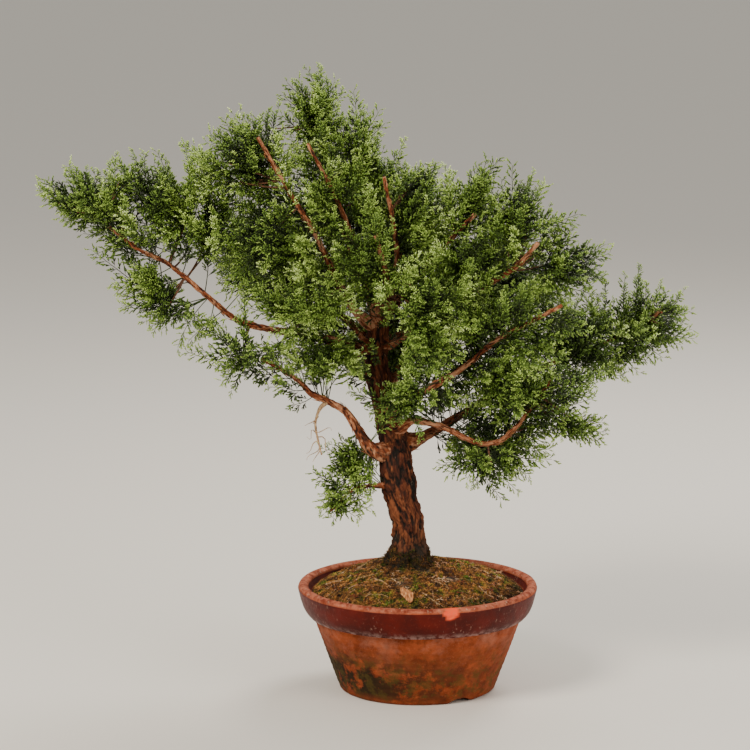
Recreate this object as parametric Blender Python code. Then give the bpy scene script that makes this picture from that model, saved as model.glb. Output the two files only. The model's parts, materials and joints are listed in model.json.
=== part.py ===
"""A juniper bonsai growing in a round clay training pot. Metres, +Z up.

The pot stands on z = 0. The crown reaches further to the left than to the right, so the pot stands
a little off the origin: that puts the middle of the whole object's box over the origin.
Inside a table, a tree point is (x, y, z, radius), measured from the foot of the trunk on the soil.
"""

import math

import bmesh
import bpy
from mathutils import Matrix, Vector

# Overall sizes
POT_RADIUS = 0.120          # outer edge of the rim
POT_HEIGHT = 0.107
TREE_HEIGHT = 0.500         # soil at the trunk to the highest foliage
CROWN_SPAN = 0.660          # foliage tip to foliage tip, left to right
SET_HEIGHT = 0.500          # the height and the span at which the routes below were set out
SET_SPAN = 0.660

# Clearances
GAP = 0.0003                # between pieces that touch
FOLIAGE_GAP = 0.0006        # between neighbouring sprays of foliage, and round a limb

# Pot
BASE_RADIUS = 0.0785
COLLAR_HEIGHT = 0.032       # glazed band under the rim
COLLAR_TAPER = 0.011        # how much the band draws in towards its lower edge
COLLAR_STEP = 0.004         # the band's lower edge stands this far out from the body
WALL = 0.009
LIP_WIDTH = 0.0105
FLOOR = 0.010
FLOOR_FILLET = 0.006
FOOT_RECESS = 0.004         # underside of the floor above the table
FOOT_WIDTH = 0.012
FOOT_CHAMFER = 0.002
DRAIN_RADIUS = 0.018
NOTCH_WIDTH = 0.025
NOTCH_HEIGHT = 0.0045
NOTCH_ANGLES = (-58, 62, 182)
POT_SIDES = 48
LIP_STEPS = 6

# Drainage mesh and its wire clip
MESH_RADIUS = 0.027
MESH_THICKNESS = 0.0012
MESH_PITCH = 0.008
MESH_HOLE = 0.005
WIRE_RADIUS = 0.0008
WIRE_TOE = 0.026            # how far the clip's feet reach out under the floor

# Soil, moss and litter
SOIL_BELOW_RIM = 0.010      # soil edge below the top of the rim
MOUND_RISE = 0.030          # soil at the trunk above the soil edge
MOSS_THICKNESS = 0.0032
MOSS_EDGE = 0.0014
MOSS_INNER = 0.028          # from the pot's axis to the cushions
MOSS_FROM_WALL = 0.006
MOSS_SIDES = 14
MOSS_PADS = {"moss_front_left": (228, 40), "moss_front_right": (315, 40),    # middle and half angle
             "moss_back_right": (47, 44), "moss_back_left": (140, 42)}
TWIG_RADIUS = 0.0010
LITTER_TWIG = ((0.060, 218), (0.066, 246))      # distance from the axis and direction of each end
CHIP_SIZE = (0.010, 0.024, 0.0016)
CHIP_PLACE = (0.086, 262, 0.004)                # distance, direction and height above the moss
CHIP_TILT = 0.5

# Trunk
TRUNK_X = -0.009            # the trunk stands left of the pot's axis
TRUNK_SIDES = 12
LIMB_SIDES = 8
TWIG_SIDES = 6
TRUNK = [(0, 0, -0.035, 0.0170), (0, 0, 0.005, 0.0185), (0, 0, 0.023, 0.0160), (-0.001, 0, 0.043, 0.0150),
         (-0.007, 0, 0.064, 0.0155), (-0.013, 0.002, 0.100, 0.0165), (-0.014, 0.008, 0.118, 0.0140),
         (-0.021, 0.014, 0.147, 0.0125), (-0.029, 0.016, 0.182, 0.0115), (-0.033, 0.014, 0.215, 0.0105),
         (-0.029, 0.009, 0.246, 0.0085)]
ROOT_ANGLES = (20, 100, 170, 238, 305)
ROOT = [(0, 0.014, 0.0095), (0.016, 0.004, 0.0080), (0.034, -0.008, 0.0055), (0.054, -0.040, 0.0030)]

# Limbs, thickest and lowest first. Each starts inside the wood that it grows from.
LIMBS = {
    "limb_right_long": [(-0.015, 0.006, 0.113, 0.0089), (0.007, 0.022, 0.120, 0.0075),
                        (0.032, 0.038, 0.130, 0.0059), (0.080, 0.054, 0.157, 0.0042),
                        (0.138, 0.062, 0.189, 0.0031), (0.190, 0.061, 0.209, 0.0022),
                        (0.255, 0.052, 0.246, 0.0013)],
    "limb_left_low": [(-0.015, 0, 0.102, 0.0085), (-0.037, -0.010, 0.117, 0.0073),
                      (-0.052, -0.018, 0.140, 0.0057), (-0.065, -0.024, 0.160, 0.0044),
                      (-0.096, -0.032, 0.177, 0.0036), (-0.110, -0.036, 0.192, 0.0029),
                      (-0.144, -0.048, 0.215, 0.0020)],
    "limb_right_low": [(-0.017, 0.010, 0.128, 0.0059), (0.003, -0.010, 0.146, 0.0047),
                       (0.036, -0.024, 0.141, 0.0038), (0.068, -0.030, 0.127, 0.0031),
                       (0.092, -0.035, 0.132, 0.0028), (0.112, -0.042, 0.155, 0.0023),
                       (0.138, -0.052, 0.194, 0.0016)],
    "limb_right_mid": [(-0.024, 0.014, 0.157, 0.0068), (-0.007, -0.008, 0.164, 0.0055),
                       (0.020, -0.026, 0.182, 0.0042), (0.056, -0.036, 0.206, 0.0032),
                       (0.086, -0.042, 0.232, 0.0029), (0.148, -0.054, 0.268, 0.0020)],
    "limb_back_right": [(-0.026, 0.016, 0.170, 0.0072), (-0.006, 0.058, 0.190, 0.0055),
                        (0.025, 0.096, 0.215, 0.0039), (0.078, 0.136, 0.258, 0.0019)],
    "limb_left_long": [(-0.030, 0.014, 0.205, 0.0072), (-0.058, 0.002, 0.219, 0.0061),
                       (-0.110, -0.014, 0.234, 0.0046), (-0.163, -0.024, 0.246, 0.0035),
                       (-0.193, -0.028, 0.269, 0.0031), (-0.235, -0.036, 0.306, 0.0025),
                       (-0.265, -0.041, 0.322, 0.0020), (-0.305, -0.042, 0.354, 0.0013)],
    "limb_back_left": [(-0.030, 0.016, 0.207, 0.0068), (-0.051, 0.060, 0.226, 0.0051),
                       (-0.080, 0.092, 0.246, 0.0036), (-0.132, 0.130, 0.287, 0.0018)],
    "limb_right_upper": [(-0.032, 0.014, 0.213, 0.0065), (0.001, 0.014, 0.233, 0.0053),
                         (0.036, 0, 0.259, 0.0041), (0.082, -0.017, 0.286, 0.0030),
                         (0.105, -0.027, 0.303, 0.0026), (0.125, -0.036, 0.327, 0.0021)],
    "limb_back_centre": [(-0.031, 0.014, 0.225, 0.0059), (-0.025, 0.052, 0.254, 0.0047),
                         (-0.016, 0.086, 0.289, 0.0034), (-0.004, 0.118, 0.345, 0.0017)],
    "limb_crest_left": [(-0.029, 0.010, 0.234, 0.0059), (-0.052, -0.002, 0.254, 0.0050),
                        (-0.072, -0.016, 0.290, 0.0038), (-0.093, -0.030, 0.337, 0.0029),
                        (-0.109, -0.038, 0.364, 0.0026), (-0.147, -0.050, 0.431, 0.0019)],
    "limb_apex": [(-0.029, 0.011, 0.240, 0.0056), (-0.043, 0.030, 0.276, 0.0044),
                  (-0.063, 0.042, 0.325, 0.0032), (-0.081, 0.046, 0.379, 0.0023),
                  (-0.092, 0.041, 0.440, 0.0015), (-0.094, 0.038, 0.468, 0.0013)],
    "limb_right_high": [(-0.029, 0.010, 0.239, 0.0054), (-0.005, 0.022, 0.270, 0.0045),
                        (0.021, 0.012, 0.302, 0.0035), (0.042, -0.006, 0.328, 0.0028),
                        (0.064, -0.020, 0.353, 0.0022)],
    "limb_front_stub": [(-0.028, 0.008, 0.234, 0.0051), (-0.021, -0.018, 0.264, 0.0041),
                        (-0.024, -0.036, 0.298, 0.0032), (-0.033, -0.050, 0.335, 0.0024)],
    "limb_crest_mid": [(-0.029, 0.009, 0.240, 0.0048), (-0.039, -0.002, 0.281, 0.0041),
                       (-0.052, -0.012, 0.322, 0.0031), (-0.071, -0.020, 0.367, 0.0024),
                       (-0.099, -0.030, 0.423, 0.0019)],
    "limb_centre": [(-0.028, 0.009, 0.240, 0.0051), (-0.016, 0.008, 0.274, 0.0041),
                    (-0.012, -0.002, 0.310, 0.0031), (-0.016, -0.012, 0.344, 0.0025),
                    (-0.025, -0.026, 0.390, 0.0018)],
}
TRUNK_TWIG = [(-0.012, 0, 0.078, 0.0026), (-0.037, -0.014, 0.081, 0.0022), (-0.057, -0.018, 0.077, 0.0018),
              (-0.078, -0.020, 0.056, 0.0011)]
# A dead twig hangs from the low left limb.
DEAD_TWIG = [(-0.084, -0.028, 0.168, 0.0018), (-0.090, -0.036, 0.158, 0.0015),
             (-0.092, -0.040, 0.144, 0.0013), (-0.086, -0.044, 0.118, 0.0010)]

# Foliage: each mass of sprays is (x, y, z), then half its length, depth and height, then its
# tilt in degrees, which lowers its right end. Two masses under one name grow together.
FOLIAGE = {
    "foliage_apex": [(-0.094, 0.038, 0.450, 0.029, 0.028, 0.048, 6)],
    "foliage_crest_left": [(-0.157, -0.020, 0.414, 0.046, 0.046, 0.040, 0)],
    "foliage_crest_mid": [(-0.092, -0.026, 0.386, 0.042, 0.042, 0.036, 0)],
    "foliage_crest_right": [(-0.056, 0.012, 0.424, 0.038, 0.034, 0.023, -45),
                            (-0.030, 0.004, 0.396, 0.028, 0.034, 0.028, 0)],
    "foliage_shoulder": [(0.006, 0.004, 0.368, 0.036, 0.044, 0.032, 0)],
    "foliage_horn": [(0.066, -0.006, 0.374, 0.022, 0.030, 0.042, 28)],
    "foliage_right_upper": [(0.110, -0.008, 0.350, 0.033, 0.040, 0.038, 22)],
    "foliage_right_mid": [(0.060, -0.022, 0.314, 0.042, 0.044, 0.036, 0)],
    "foliage_right_tip": [(0.160, -0.022, 0.304, 0.042, 0.040, 0.034, 10)],
    "foliage_right_core": [(0.094, -0.054, 0.250, 0.046, 0.042, 0.036, 10)],
    "foliage_right_outer": [(0.178, 0.034, 0.220, 0.046, 0.042, 0.036, 16)],
    "foliage_far_right": [(0.243, 0.054, 0.232, 0.047, 0.034, 0.035, 8)],
    "foliage_right_low": [(0.108, -0.054, 0.186, 0.044, 0.040, 0.036, 0)],
    "foliage_right_skirt": [(0.068, -0.020, 0.107, 0.040, 0.034, 0.025, 0),
                            (0.114, -0.004, 0.114, 0.024, 0.026, 0.027, 0)],
    "foliage_right_droop": [(0.162, -0.036, 0.148, 0.040, 0.020, 0.015, 24)],
    "foliage_front": [(0.022, -0.072, 0.272, 0.038, 0.036, 0.034, 0),
                      (0.020, -0.092, 0.226, 0.038, 0.034, 0.026, 0)],
    "foliage_inner_low": [(-0.007, -0.036, 0.167, 0.035, 0.027, 0.021, 12)],
    "foliage_centre": [(-0.048, -0.050, 0.324, 0.052, 0.038, 0.040, 0)],
    "foliage_left_mid": [(-0.140, -0.042, 0.332, 0.042, 0.044, 0.042, 0)],
    "foliage_left_front": [(-0.114, -0.076, 0.272, 0.050, 0.032, 0.020, 0)],
    "foliage_left_under": [(-0.088, -0.044, 0.218, 0.035, 0.036, 0.030, 0)],
    "foliage_left_low": [(-0.157, -0.064, 0.222, 0.040, 0.036, 0.036, 0)],
    "foliage_left_bridge": [(-0.196, -0.018, 0.346, 0.034, 0.038, 0.034, 0)],
    "foliage_left_outer": [(-0.252, -0.034, 0.374, 0.042, 0.042, 0.046, 0)],
    "foliage_far_left": [(-0.316, -0.042, 0.372, 0.051, 0.036, 0.030, 22)],
    "foliage_left_drape": [(-0.278, -0.042, 0.308, 0.044, 0.032, 0.029, 30),
                           (-0.240, -0.040, 0.264, 0.042, 0.028, 0.020, 0)],
    "foliage_trunk_left": [(-0.060, 0.000, 0.098, 0.027, 0.024, 0.032, 0)],
    "foliage_twig_low": [(-0.071, -0.020, 0.060, 0.022, 0.016, 0.021, 0)],
    "foliage_back_left": [(-0.128, 0.098, 0.299, 0.076, 0.060, 0.064, 0)],
    "foliage_back_centre": [(-0.022, 0.102, 0.340, 0.066, 0.056, 0.056, 0)],
    "foliage_back_right": [(0.080, 0.102, 0.262, 0.072, 0.060, 0.062, 0)],
    "foliage_back_low": [(-0.026, 0.092, 0.208, 0.058, 0.050, 0.050, 0)],
}

# Colours: red, green, blue
CLAY = (0.42, 0.11, 0.05)
DARK_PLASTIC = (0.03, 0.03, 0.03)
COPPER_WIRE = (0.35, 0.16, 0.08)
SOIL = (0.07, 0.05, 0.03)
MOSS = (0.13, 0.13, 0.03)
BARK = (0.18, 0.08, 0.04)
DEAD_WOOD = (0.30, 0.24, 0.18)
LEAF = (0.10, 0.20, 0.06)

# Places that follow from the sizes
COLLAR_Z = POT_HEIGHT - COLLAR_HEIGHT
BODY_TOP_RADIUS = POT_RADIUS - COLLAR_TAPER - COLLAR_STEP
FLOOR_Z = FOOT_RECESS + FLOOR
SOIL_EDGE_Z = POT_HEIGHT - SOIL_BELOW_RIM
FOOT_Z = SOIL_EDGE_Z + MOUND_RISE
SPREAD = CROWN_SPAN / SET_SPAN
RISE = TREE_HEIGHT / SET_HEIGHT


def clear_scene():
    for old in list(bpy.data.objects):
        bpy.data.objects.remove(old, do_unlink=True)


def material(name, colour, roughness=0.85, metallic=0.0):
    surface = bpy.data.materials.new(name)
    surface.use_nodes = True
    shader = surface.node_tree.nodes["Principled BSDF"]
    shader.inputs["Base Color"].default_value = (*colour, 1)
    shader.inputs["Roughness"].default_value = roughness
    shader.inputs["Metallic"].default_value = metallic
    return surface


def add_object(name, shape, surface=None):
    """Turn a bmesh into an object under the stand. With no material it is a cutter."""
    bmesh.ops.recalc_face_normals(shape, faces=shape.faces)
    mesh = bpy.data.meshes.new(name)
    shape.to_mesh(mesh)
    shape.free()
    mesh.shade_smooth()
    mesh.set_sharp_from_angle(angle=math.radians(35))
    piece = bpy.data.objects.new(name, mesh)
    bpy.context.scene.collection.objects.link(piece)
    piece.parent = STAND
    if surface:
        mesh.materials.append(surface)
    else:
        piece.hide_render = True
        piece.display_type = "WIRE"
    return piece


def boolean(piece, tool, operation="DIFFERENCE"):
    step = piece.modifiers.new(tool.name, "BOOLEAN")
    step.operation = operation
    step.object = tool
    step.solver = "EXACT"


def join_bodies(shape, other):
    """Copy one bmesh's faces into another, as a separate body."""
    copies = {point: shape.verts.new(point.co) for point in other.verts}
    for face in other.faces:
        shape.faces.new([copies[point] for point in face.verts])
    other.free()


def bridge(shape, lower, upper):
    """Faces between two rings; a ring of one point makes a fan."""
    count = max(len(lower), len(upper))
    for i in range(count):
        corners = [lower[i % len(lower)], lower[(i + 1) % len(lower)],
                   upper[(i + 1) % len(upper)], upper[i % len(upper)]]
        corners = list(dict.fromkeys(corners))
        if len(corners) > 2:
            shape.faces.new(corners)


def turned(profile, closed, sides=POT_SIDES):
    """Turn (radius, z) points about the pot's axis."""
    shape = bmesh.new()
    rings = []
    for radius, z in profile:
        if radius == 0:
            rings.append([shape.verts.new((0, 0, z))])
            continue
        angles = [2 * math.pi * i / sides for i in range(sides)]
        rings.append([shape.verts.new((radius * math.cos(a), radius * math.sin(a), z)) for a in angles])
    for lower, upper in zip(rings, rings[1:] + rings[:1] if closed else rings[1:]):
        bridge(shape, lower, upper)
    return shape


def box_shape(size, place):
    shape = bmesh.new()
    bmesh.ops.create_cube(shape, size=1, matrix=place @ Matrix.Diagonal((*size, 1)))
    return shape


def smooth(route, steps):
    """Points along a Catmull-Rom curve through the route, as (place, radius)."""
    knots = [Vector(point) for point in route]
    knots = [2 * knots[0] - knots[1]] + knots + [2 * knots[-1] - knots[-2]]
    samples = []
    for a, b, c, d in zip(knots, knots[1:], knots[2:], knots[3:]):
        for i in range(steps):
            t = i / steps
            samples.append(0.5 * (2 * b + (c - a) * t + (2 * a - 5 * b + 4 * c - d) * t * t
                                  + (3 * b - a - 3 * c + d) * t ** 3))
    samples.append(knots[-2])
    return [(Vector(point[:3]), point[3]) for point in samples]


def tube(samples, sides, grow=0.0):
    """Sweep a round section along (place, radius) samples; grow makes it larger all round."""
    shape = bmesh.new()
    places = [place for place, radius in samples]
    tangents = [(b - a).normalized() for a, b in zip(places[:1] + places, places[1:] + places[-1:])]
    places[0] = places[0] - tangents[0] * grow
    places[-1] = places[-1] + tangents[-1] * grow
    side = tangents[0].orthogonal().normalized()
    rings = []
    for place, tangent, (_, radius) in zip(places, tangents, samples):
        side = (side - tangent * side.dot(tangent)).normalized()
        other = tangent.cross(side)
        reach = radius + grow / math.cos(math.pi / sides)
        angles = [2 * math.pi * i / sides for i in range(sides)]
        rings.append([shape.verts.new(place + (side * math.cos(a) + other * math.sin(a)) * reach)
                      for a in angles])
    for lower, upper in zip(rings, rings[1:]):
        bridge(shape, lower, upper)
    shape.faces.new(rings[0])
    shape.faces.new(rings[-1])
    return shape


def inner_wall():
    """The inside of the pot, from under the lip to the floor, as (radius, z)."""
    def body(z):
        return BASE_RADIUS + (BODY_TOP_RADIUS - BASE_RADIUS) * z / COLLAR_Z - WALL
    return [(POT_RADIUS - LIP_WIDTH, POT_HEIGHT - LIP_WIDTH / 2), (body(COLLAR_Z), COLLAR_Z),
            (body(FLOOR_Z + FLOOR_FILLET), FLOOR_Z + FLOOR_FILLET),
            (body(FLOOR_Z) - FLOOR_FILLET, FLOOR_Z)]


def make_pot(surface):
    """A flared bowl with a glazed band, a rounded lip, a foot ring and a drain hole."""
    lip_radius = LIP_WIDTH / 2
    lip_angles = [math.pi * i / LIP_STEPS for i in range(LIP_STEPS)]
    outside = [(BASE_RADIUS - FOOT_CHAMFER, 0), (BASE_RADIUS, FOOT_CHAMFER), (BODY_TOP_RADIUS, COLLAR_Z),
               (BODY_TOP_RADIUS + COLLAR_STEP, COLLAR_Z)]
    lip = [(POT_RADIUS - lip_radius + lip_radius * math.cos(a), POT_HEIGHT - lip_radius
            + lip_radius * math.sin(a)) for a in lip_angles]
    underside = [(DRAIN_RADIUS, FLOOR_Z), (DRAIN_RADIUS, FOOT_RECESS),
                 (BASE_RADIUS - FOOT_WIDTH, FOOT_RECESS), (BASE_RADIUS - FOOT_WIDTH, 0)]
    pot = add_object("pot", turned(outside + lip + inner_wall() + underside, closed=True), surface)
    notches = bmesh.new()
    for angle in NOTCH_ANGLES:
        place = Matrix.Rotation(math.radians(angle), 4, "Z") @ Matrix.Translation((BASE_RADIUS, 0, 0))
        join_bodies(notches, box_shape((4 * FOOT_WIDTH, NOTCH_WIDTH, 2 * NOTCH_HEIGHT), place))
    boolean(pot, add_object("notch_cutter", notches))


def make_drain_mesh(surface):
    """A round plastic mesh that lies over the drain hole."""
    low = FLOOR_Z + GAP
    profile = [(0, low), (MESH_RADIUS, low), (MESH_RADIUS, low + MESH_THICKNESS), (0, low + MESH_THICKNESS)]
    mesh = add_object("drain_mesh", turned(profile, closed=False), surface)
    holes = bmesh.new()
    reach = int(MESH_RADIUS / MESH_PITCH)
    for i in range(-reach, reach + 1):
        for j in range(-reach, reach + 1):
            if math.hypot(i, j) * MESH_PITCH < MESH_RADIUS - MESH_HOLE:
                place = Matrix.Translation((i * MESH_PITCH, j * MESH_PITCH, low))
                join_bodies(holes, box_shape((MESH_HOLE, MESH_HOLE, 4 * MESH_THICKNESS), place))
    boolean(mesh, add_object("mesh_hole_cutter", holes))


def make_mesh_clip(surface):
    """A bent wire: its bar lies on the mesh, and its feet turn out under the pot's floor."""
    top = FLOOR_Z + MESH_THICKNESS + 2 * GAP + WIRE_RADIUS
    low = FOOT_RECESS - GAP - WIRE_RADIUS
    leg = 2 * MESH_PITCH
    bend = 2 * WIRE_RADIUS
    half = [(0, top), (leg - bend, top), (leg, top - bend), (leg, low + bend), (leg + bend, low),
            (WIRE_TOE, low)]
    route = [(-x, z) for x, z in reversed(half[1:])] + half
    samples = [(Vector((x, 0, z)), WIRE_RADIUS) for x, z in route]
    add_object("mesh_clip", tube(samples, TWIG_SIDES), surface)


def mound(radius):
    """Height of the bare soil at a distance from the pot's axis."""
    share = min(radius / soil_radius(), 1)
    return SOIL_EDGE_Z + MOUND_RISE * (1 - share ** 2)


def wall_radius(z):
    """Inside radius of the pot at a height."""
    for (r1, z1), (r2, z2) in zip(inner_wall(), inner_wall()[1:]):
        if z2 <= z <= z1:
            return r2 + (r1 - r2) * (z - z2) / (z1 - z2)
    return inner_wall()[-1][0]


def soil_radius():
    return wall_radius(SOIL_EDGE_Z) - GAP


def soil_shape(lift=0.0):
    """The pot's filling, heaped at the trunk, with a pocket over the mesh and its clip."""
    top = [(soil_radius() * share, mound(soil_radius() * share) + lift)
           for share in (0, 0.2, 0.4, 0.6, 0.8, 1)]
    wall = [(radius - GAP, z) for radius, z in inner_wall()[1:3]]
    corner, floor_z = inner_wall()[3]
    pocket = MESH_RADIUS + 2 * GAP
    pocket_z = FLOOR_Z + MESH_THICKNESS + 2 * WIRE_RADIUS + 3 * GAP
    bottom = [(corner - GAP, floor_z + GAP), (pocket, floor_z + GAP), (pocket, pocket_z), (0, pocket_z)]
    return turned(top + wall + bottom, closed=False)


def on_moss(radius, degrees, above):
    """A point a little above the moss, at a distance and a direction from the pot's axis."""
    turn = math.radians(degrees)
    return Vector((radius * math.cos(turn), radius * math.sin(turn), mound(radius) + MOSS_THICKNESS + above))


def make_moss(name, middle, half_angle, surface, cutters):
    """A thin cushion that follows the soil over one sector of the pot."""
    low, high = MOSS_INNER, soil_radius() - MOSS_FROM_WALL
    shape = bmesh.new()
    tops = [[(0, 0)]]
    for reach in (0.6, 1.0):
        angles = [2 * math.pi * i / MOSS_SIDES for i in range(MOSS_SIDES)]
        tops.append([(reach * math.cos(a), reach * math.sin(a)) for a in angles])
    rings = {}
    for level in ("top", "under"):
        rings[level] = []
        for ring in tops:
            points = []
            for u, v in ring:
                radius = (low + high) / 2 + u * (high - low) / 2
                turn = math.radians(middle + half_angle * v)
                thick = MOSS_EDGE + (MOSS_THICKNESS - MOSS_EDGE) * (1 - u * u - v * v)
                z = mound(radius) + (thick if level == "top" else -MOSS_THICKNESS)
                points.append(shape.verts.new((radius * math.cos(turn), radius * math.sin(turn), z)))
            rings[level].append(points)
    for level in rings.values():
        for inner, outer in zip(level, level[1:]):
            bridge(shape, inner, outer)
    bridge(shape, rings["top"][-1], rings["under"][-1])
    pad = add_object(name, shape, surface)
    for cutter in cutters:
        boolean(pad, cutter)


def make_litter(surface):
    """A fallen twig and a chip of bark, lying on the moss."""
    (near, start), (far, end) = LITTER_TWIG
    samples = [(on_moss(near + (far - near) * t, start + (end - start) * t, 2 * TWIG_RADIUS), TWIG_RADIUS)
               for t in (0, 0.25, 0.5, 0.75, 1)]
    add_object("litter_twig", tube(samples, TWIG_SIDES), surface)
    chip = box_shape(CHIP_SIZE, Matrix.Translation(on_moss(*CHIP_PLACE)) @ Matrix.Rotation(CHIP_TILT, 4, "X"))
    add_object("bark_chip", chip, surface)


def tree_point(x, y, z, radius):
    """A tree point in the pot's frame, with the crown drawn to its height and span."""
    return Vector((TRUNK_X + x * SPREAD, y * SPREAD, FOOT_Z + z * RISE, radius))


class Wood:
    """One stretch of wood: its centre line, and a slightly larger copy that cuts its seat."""

    def __init__(self, name, route, sides, gap):
        points = [tree_point(*point) for point in route]
        self.name = name
        self.sides = sides
        self.samples = smooth(points, 2)
        self.dense = smooth(points, 8)
        self.seat_cutter = add_object(name + "_seat", tube(self.samples, sides, gap))
        self.foliage_cutter = add_object(name + "_sleeve", tube(self.samples, sides, FOLIAGE_GAP))

    def meets(self, other):
        return any((p - q).length < r + s + 2 * FOLIAGE_GAP for p, r in self.dense for q, s in other.dense)


def make_trunk(surface):
    """The trunk and its spreading roots, which go down into the soil."""
    trunk = Wood("trunk", TRUNK, TRUNK_SIDES, GAP)
    body = add_object("trunk", tube(trunk.samples, TRUNK_SIDES), surface)
    roots = []
    for i, angle in enumerate(ROOT_ANGLES):
        turn = math.radians(angle)
        route = [(x * math.cos(turn), x * math.sin(turn), z, radius) for x, z, radius in ROOT]
        root = Wood(f"root_{i}", route, LIMB_SIDES, GAP)
        roots.append(root)
        boolean(body, add_object(f"root_{i}_body", tube(root.samples, LIMB_SIDES)), "UNION")
    return trunk, roots


def make_limb(name, route, sides, surface, woods):
    """A limb or a twig, cut back to sit on the wood that is already there."""
    wood = Wood(name, route, sides, GAP)
    body = add_object(name, tube(wood.samples, sides), surface)
    for older in woods:
        if wood.meets(older):
            boolean(body, older.seat_cutter)
    woods.append(wood)


class Clump:
    """An egg-shaped mass of sprays, cut flat where it meets its neighbours."""

    def __init__(self, x, y, z, length, depth, height, tilt):
        self.centre = Vector(tree_point(x, y, z, 0)[:3])
        self.turn = Matrix.Rotation(math.radians(tilt), 3, "Y")
        self.radii = Vector((length * SPREAD, depth * SPREAD, height * RISE))
        self.cuts = []

    def reach(self, direction):
        """How far the clump goes from its centre in a direction."""
        local = self.turn.transposed() @ direction
        return Vector([local[i] * self.radii[i] for i in range(3)]).length

    def part_from(self, other):
        """Note a flat cut on both clumps, halfway through where they would overlap."""
        apart = other.centre - self.centre
        direction = apart.normalized()
        mine, theirs = self.reach(direction), other.reach(direction)
        if mine + theirs < apart.length:
            return
        plane = self.centre + apart * mine / (mine + theirs)
        self.cuts.append((plane - direction * FOLIAGE_GAP / 2, direction))
        other.cuts.append((plane + direction * FOLIAGE_GAP / 2, -direction))

    def shape(self):
        shape = bmesh.new()
        size = Matrix.Diagonal((*self.radii, 1))
        place = Matrix.Translation(self.centre) @ self.turn.to_4x4() @ size
        bmesh.ops.create_icosphere(shape, subdivisions=2, radius=1, matrix=place)
        for point, direction in self.cuts:
            whole = shape.verts[:] + shape.edges[:] + shape.faces[:]
            bmesh.ops.bisect_plane(shape, geom=whole, plane_co=point, plane_no=direction, clear_outer=True)
            rim = [edge for edge in shape.edges if edge.is_boundary]
            if rim:
                bmesh.ops.edgeloop_fill(shape, edges=rim)
        return shape

    def holds(self, wood):
        smallest = min(self.radii)
        for place, radius in wood.dense:
            local = self.turn.transposed() @ (place - self.centre)
            share = Vector([local[i] / self.radii[i] for i in range(3)]).length
            if share < 1 + (radius + 2 * FOLIAGE_GAP) / smallest:
                return True
        return False


def make_foliage(surface, woods):
    """Every clump of foliage, parted from its neighbours and open where wood runs through it."""
    groups = {name: [Clump(*entry) for entry in entries] for name, entries in FOLIAGE.items()}
    every = [(name, clump) for name, clumps in groups.items() for clump in clumps]
    for i, (name, clump) in enumerate(every):
        for other_name, other in every[i + 1:]:
            if name != other_name:
                clump.part_from(other)
    for name, clumps in groups.items():
        body = add_object(name, clumps[0].shape(), surface)
        for clump in clumps[1:]:
            boolean(body, add_object(name + "_more", clump.shape()), "UNION")
        for wood in woods:
            if any(clump.holds(wood) for clump in clumps):
                boolean(body, wood.foliage_cutter)


def crown_middle():
    """The middle of the crown's outline, seen from above."""
    every = [Clump(*entry) for entries in FOLIAGE.values() for entry in entries]
    middle = []
    for axis in (Vector((1, 0, 0)), Vector((0, 1, 0))):
        low = min(clump.centre.dot(axis) - clump.reach(axis) for clump in every)
        high = max(clump.centre.dot(axis) + clump.reach(axis) for clump in every)
        middle.append(round((low + high) / 2, 3))
    return middle


clear_scene()
STAND = bpy.data.objects.new("stand", None)
bpy.context.scene.collection.objects.link(STAND)
middle_x, middle_y = crown_middle()
STAND.location = (-middle_x, -middle_y, 0)

make_pot(material("glazed_clay", CLAY, 0.6))
make_drain_mesh(material("dark_plastic", DARK_PLASTIC, 0.6))
make_mesh_clip(material("copper_wire", COPPER_WIRE, 0.4, 1.0))

bark = material("bark", BARK)
trunk, roots = make_trunk(bark)
soil = add_object("soil", soil_shape(), material("soil", SOIL, 1.0))
base_cutters = [wood.seat_cutter for wood in [trunk] + roots]
for cutter in base_cutters:
    boolean(soil, cutter)

moss_green = material("moss", MOSS, 1.0)
soil_cutter = add_object("soil_cutter", soil_shape(lift=GAP))
for pad_name, (middle, half_angle) in MOSS_PADS.items():
    make_moss(pad_name, middle, half_angle, moss_green, [soil_cutter] + base_cutters)
dead_wood = material("dead_wood", DEAD_WOOD)
make_litter(dead_wood)

woods = [trunk]
for limb_name, route in LIMBS.items():
    make_limb(limb_name, route, LIMB_SIDES, bark, woods)
make_limb("twig_trunk_left", TRUNK_TWIG, TWIG_SIDES, bark, woods)
make_limb("dead_twig", DEAD_TWIG, TWIG_SIDES, dead_wood, woods)
make_foliage(material("juniper_foliage", LEAF, 0.75), woods)
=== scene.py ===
"""A juniper bonsai in a round clay training pot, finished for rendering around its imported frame."""

import json
import math
import random

import bmesh
import bpy
import numpy as np
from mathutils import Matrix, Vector, noise
from mathutils.bvhtree import BVHTree

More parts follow.
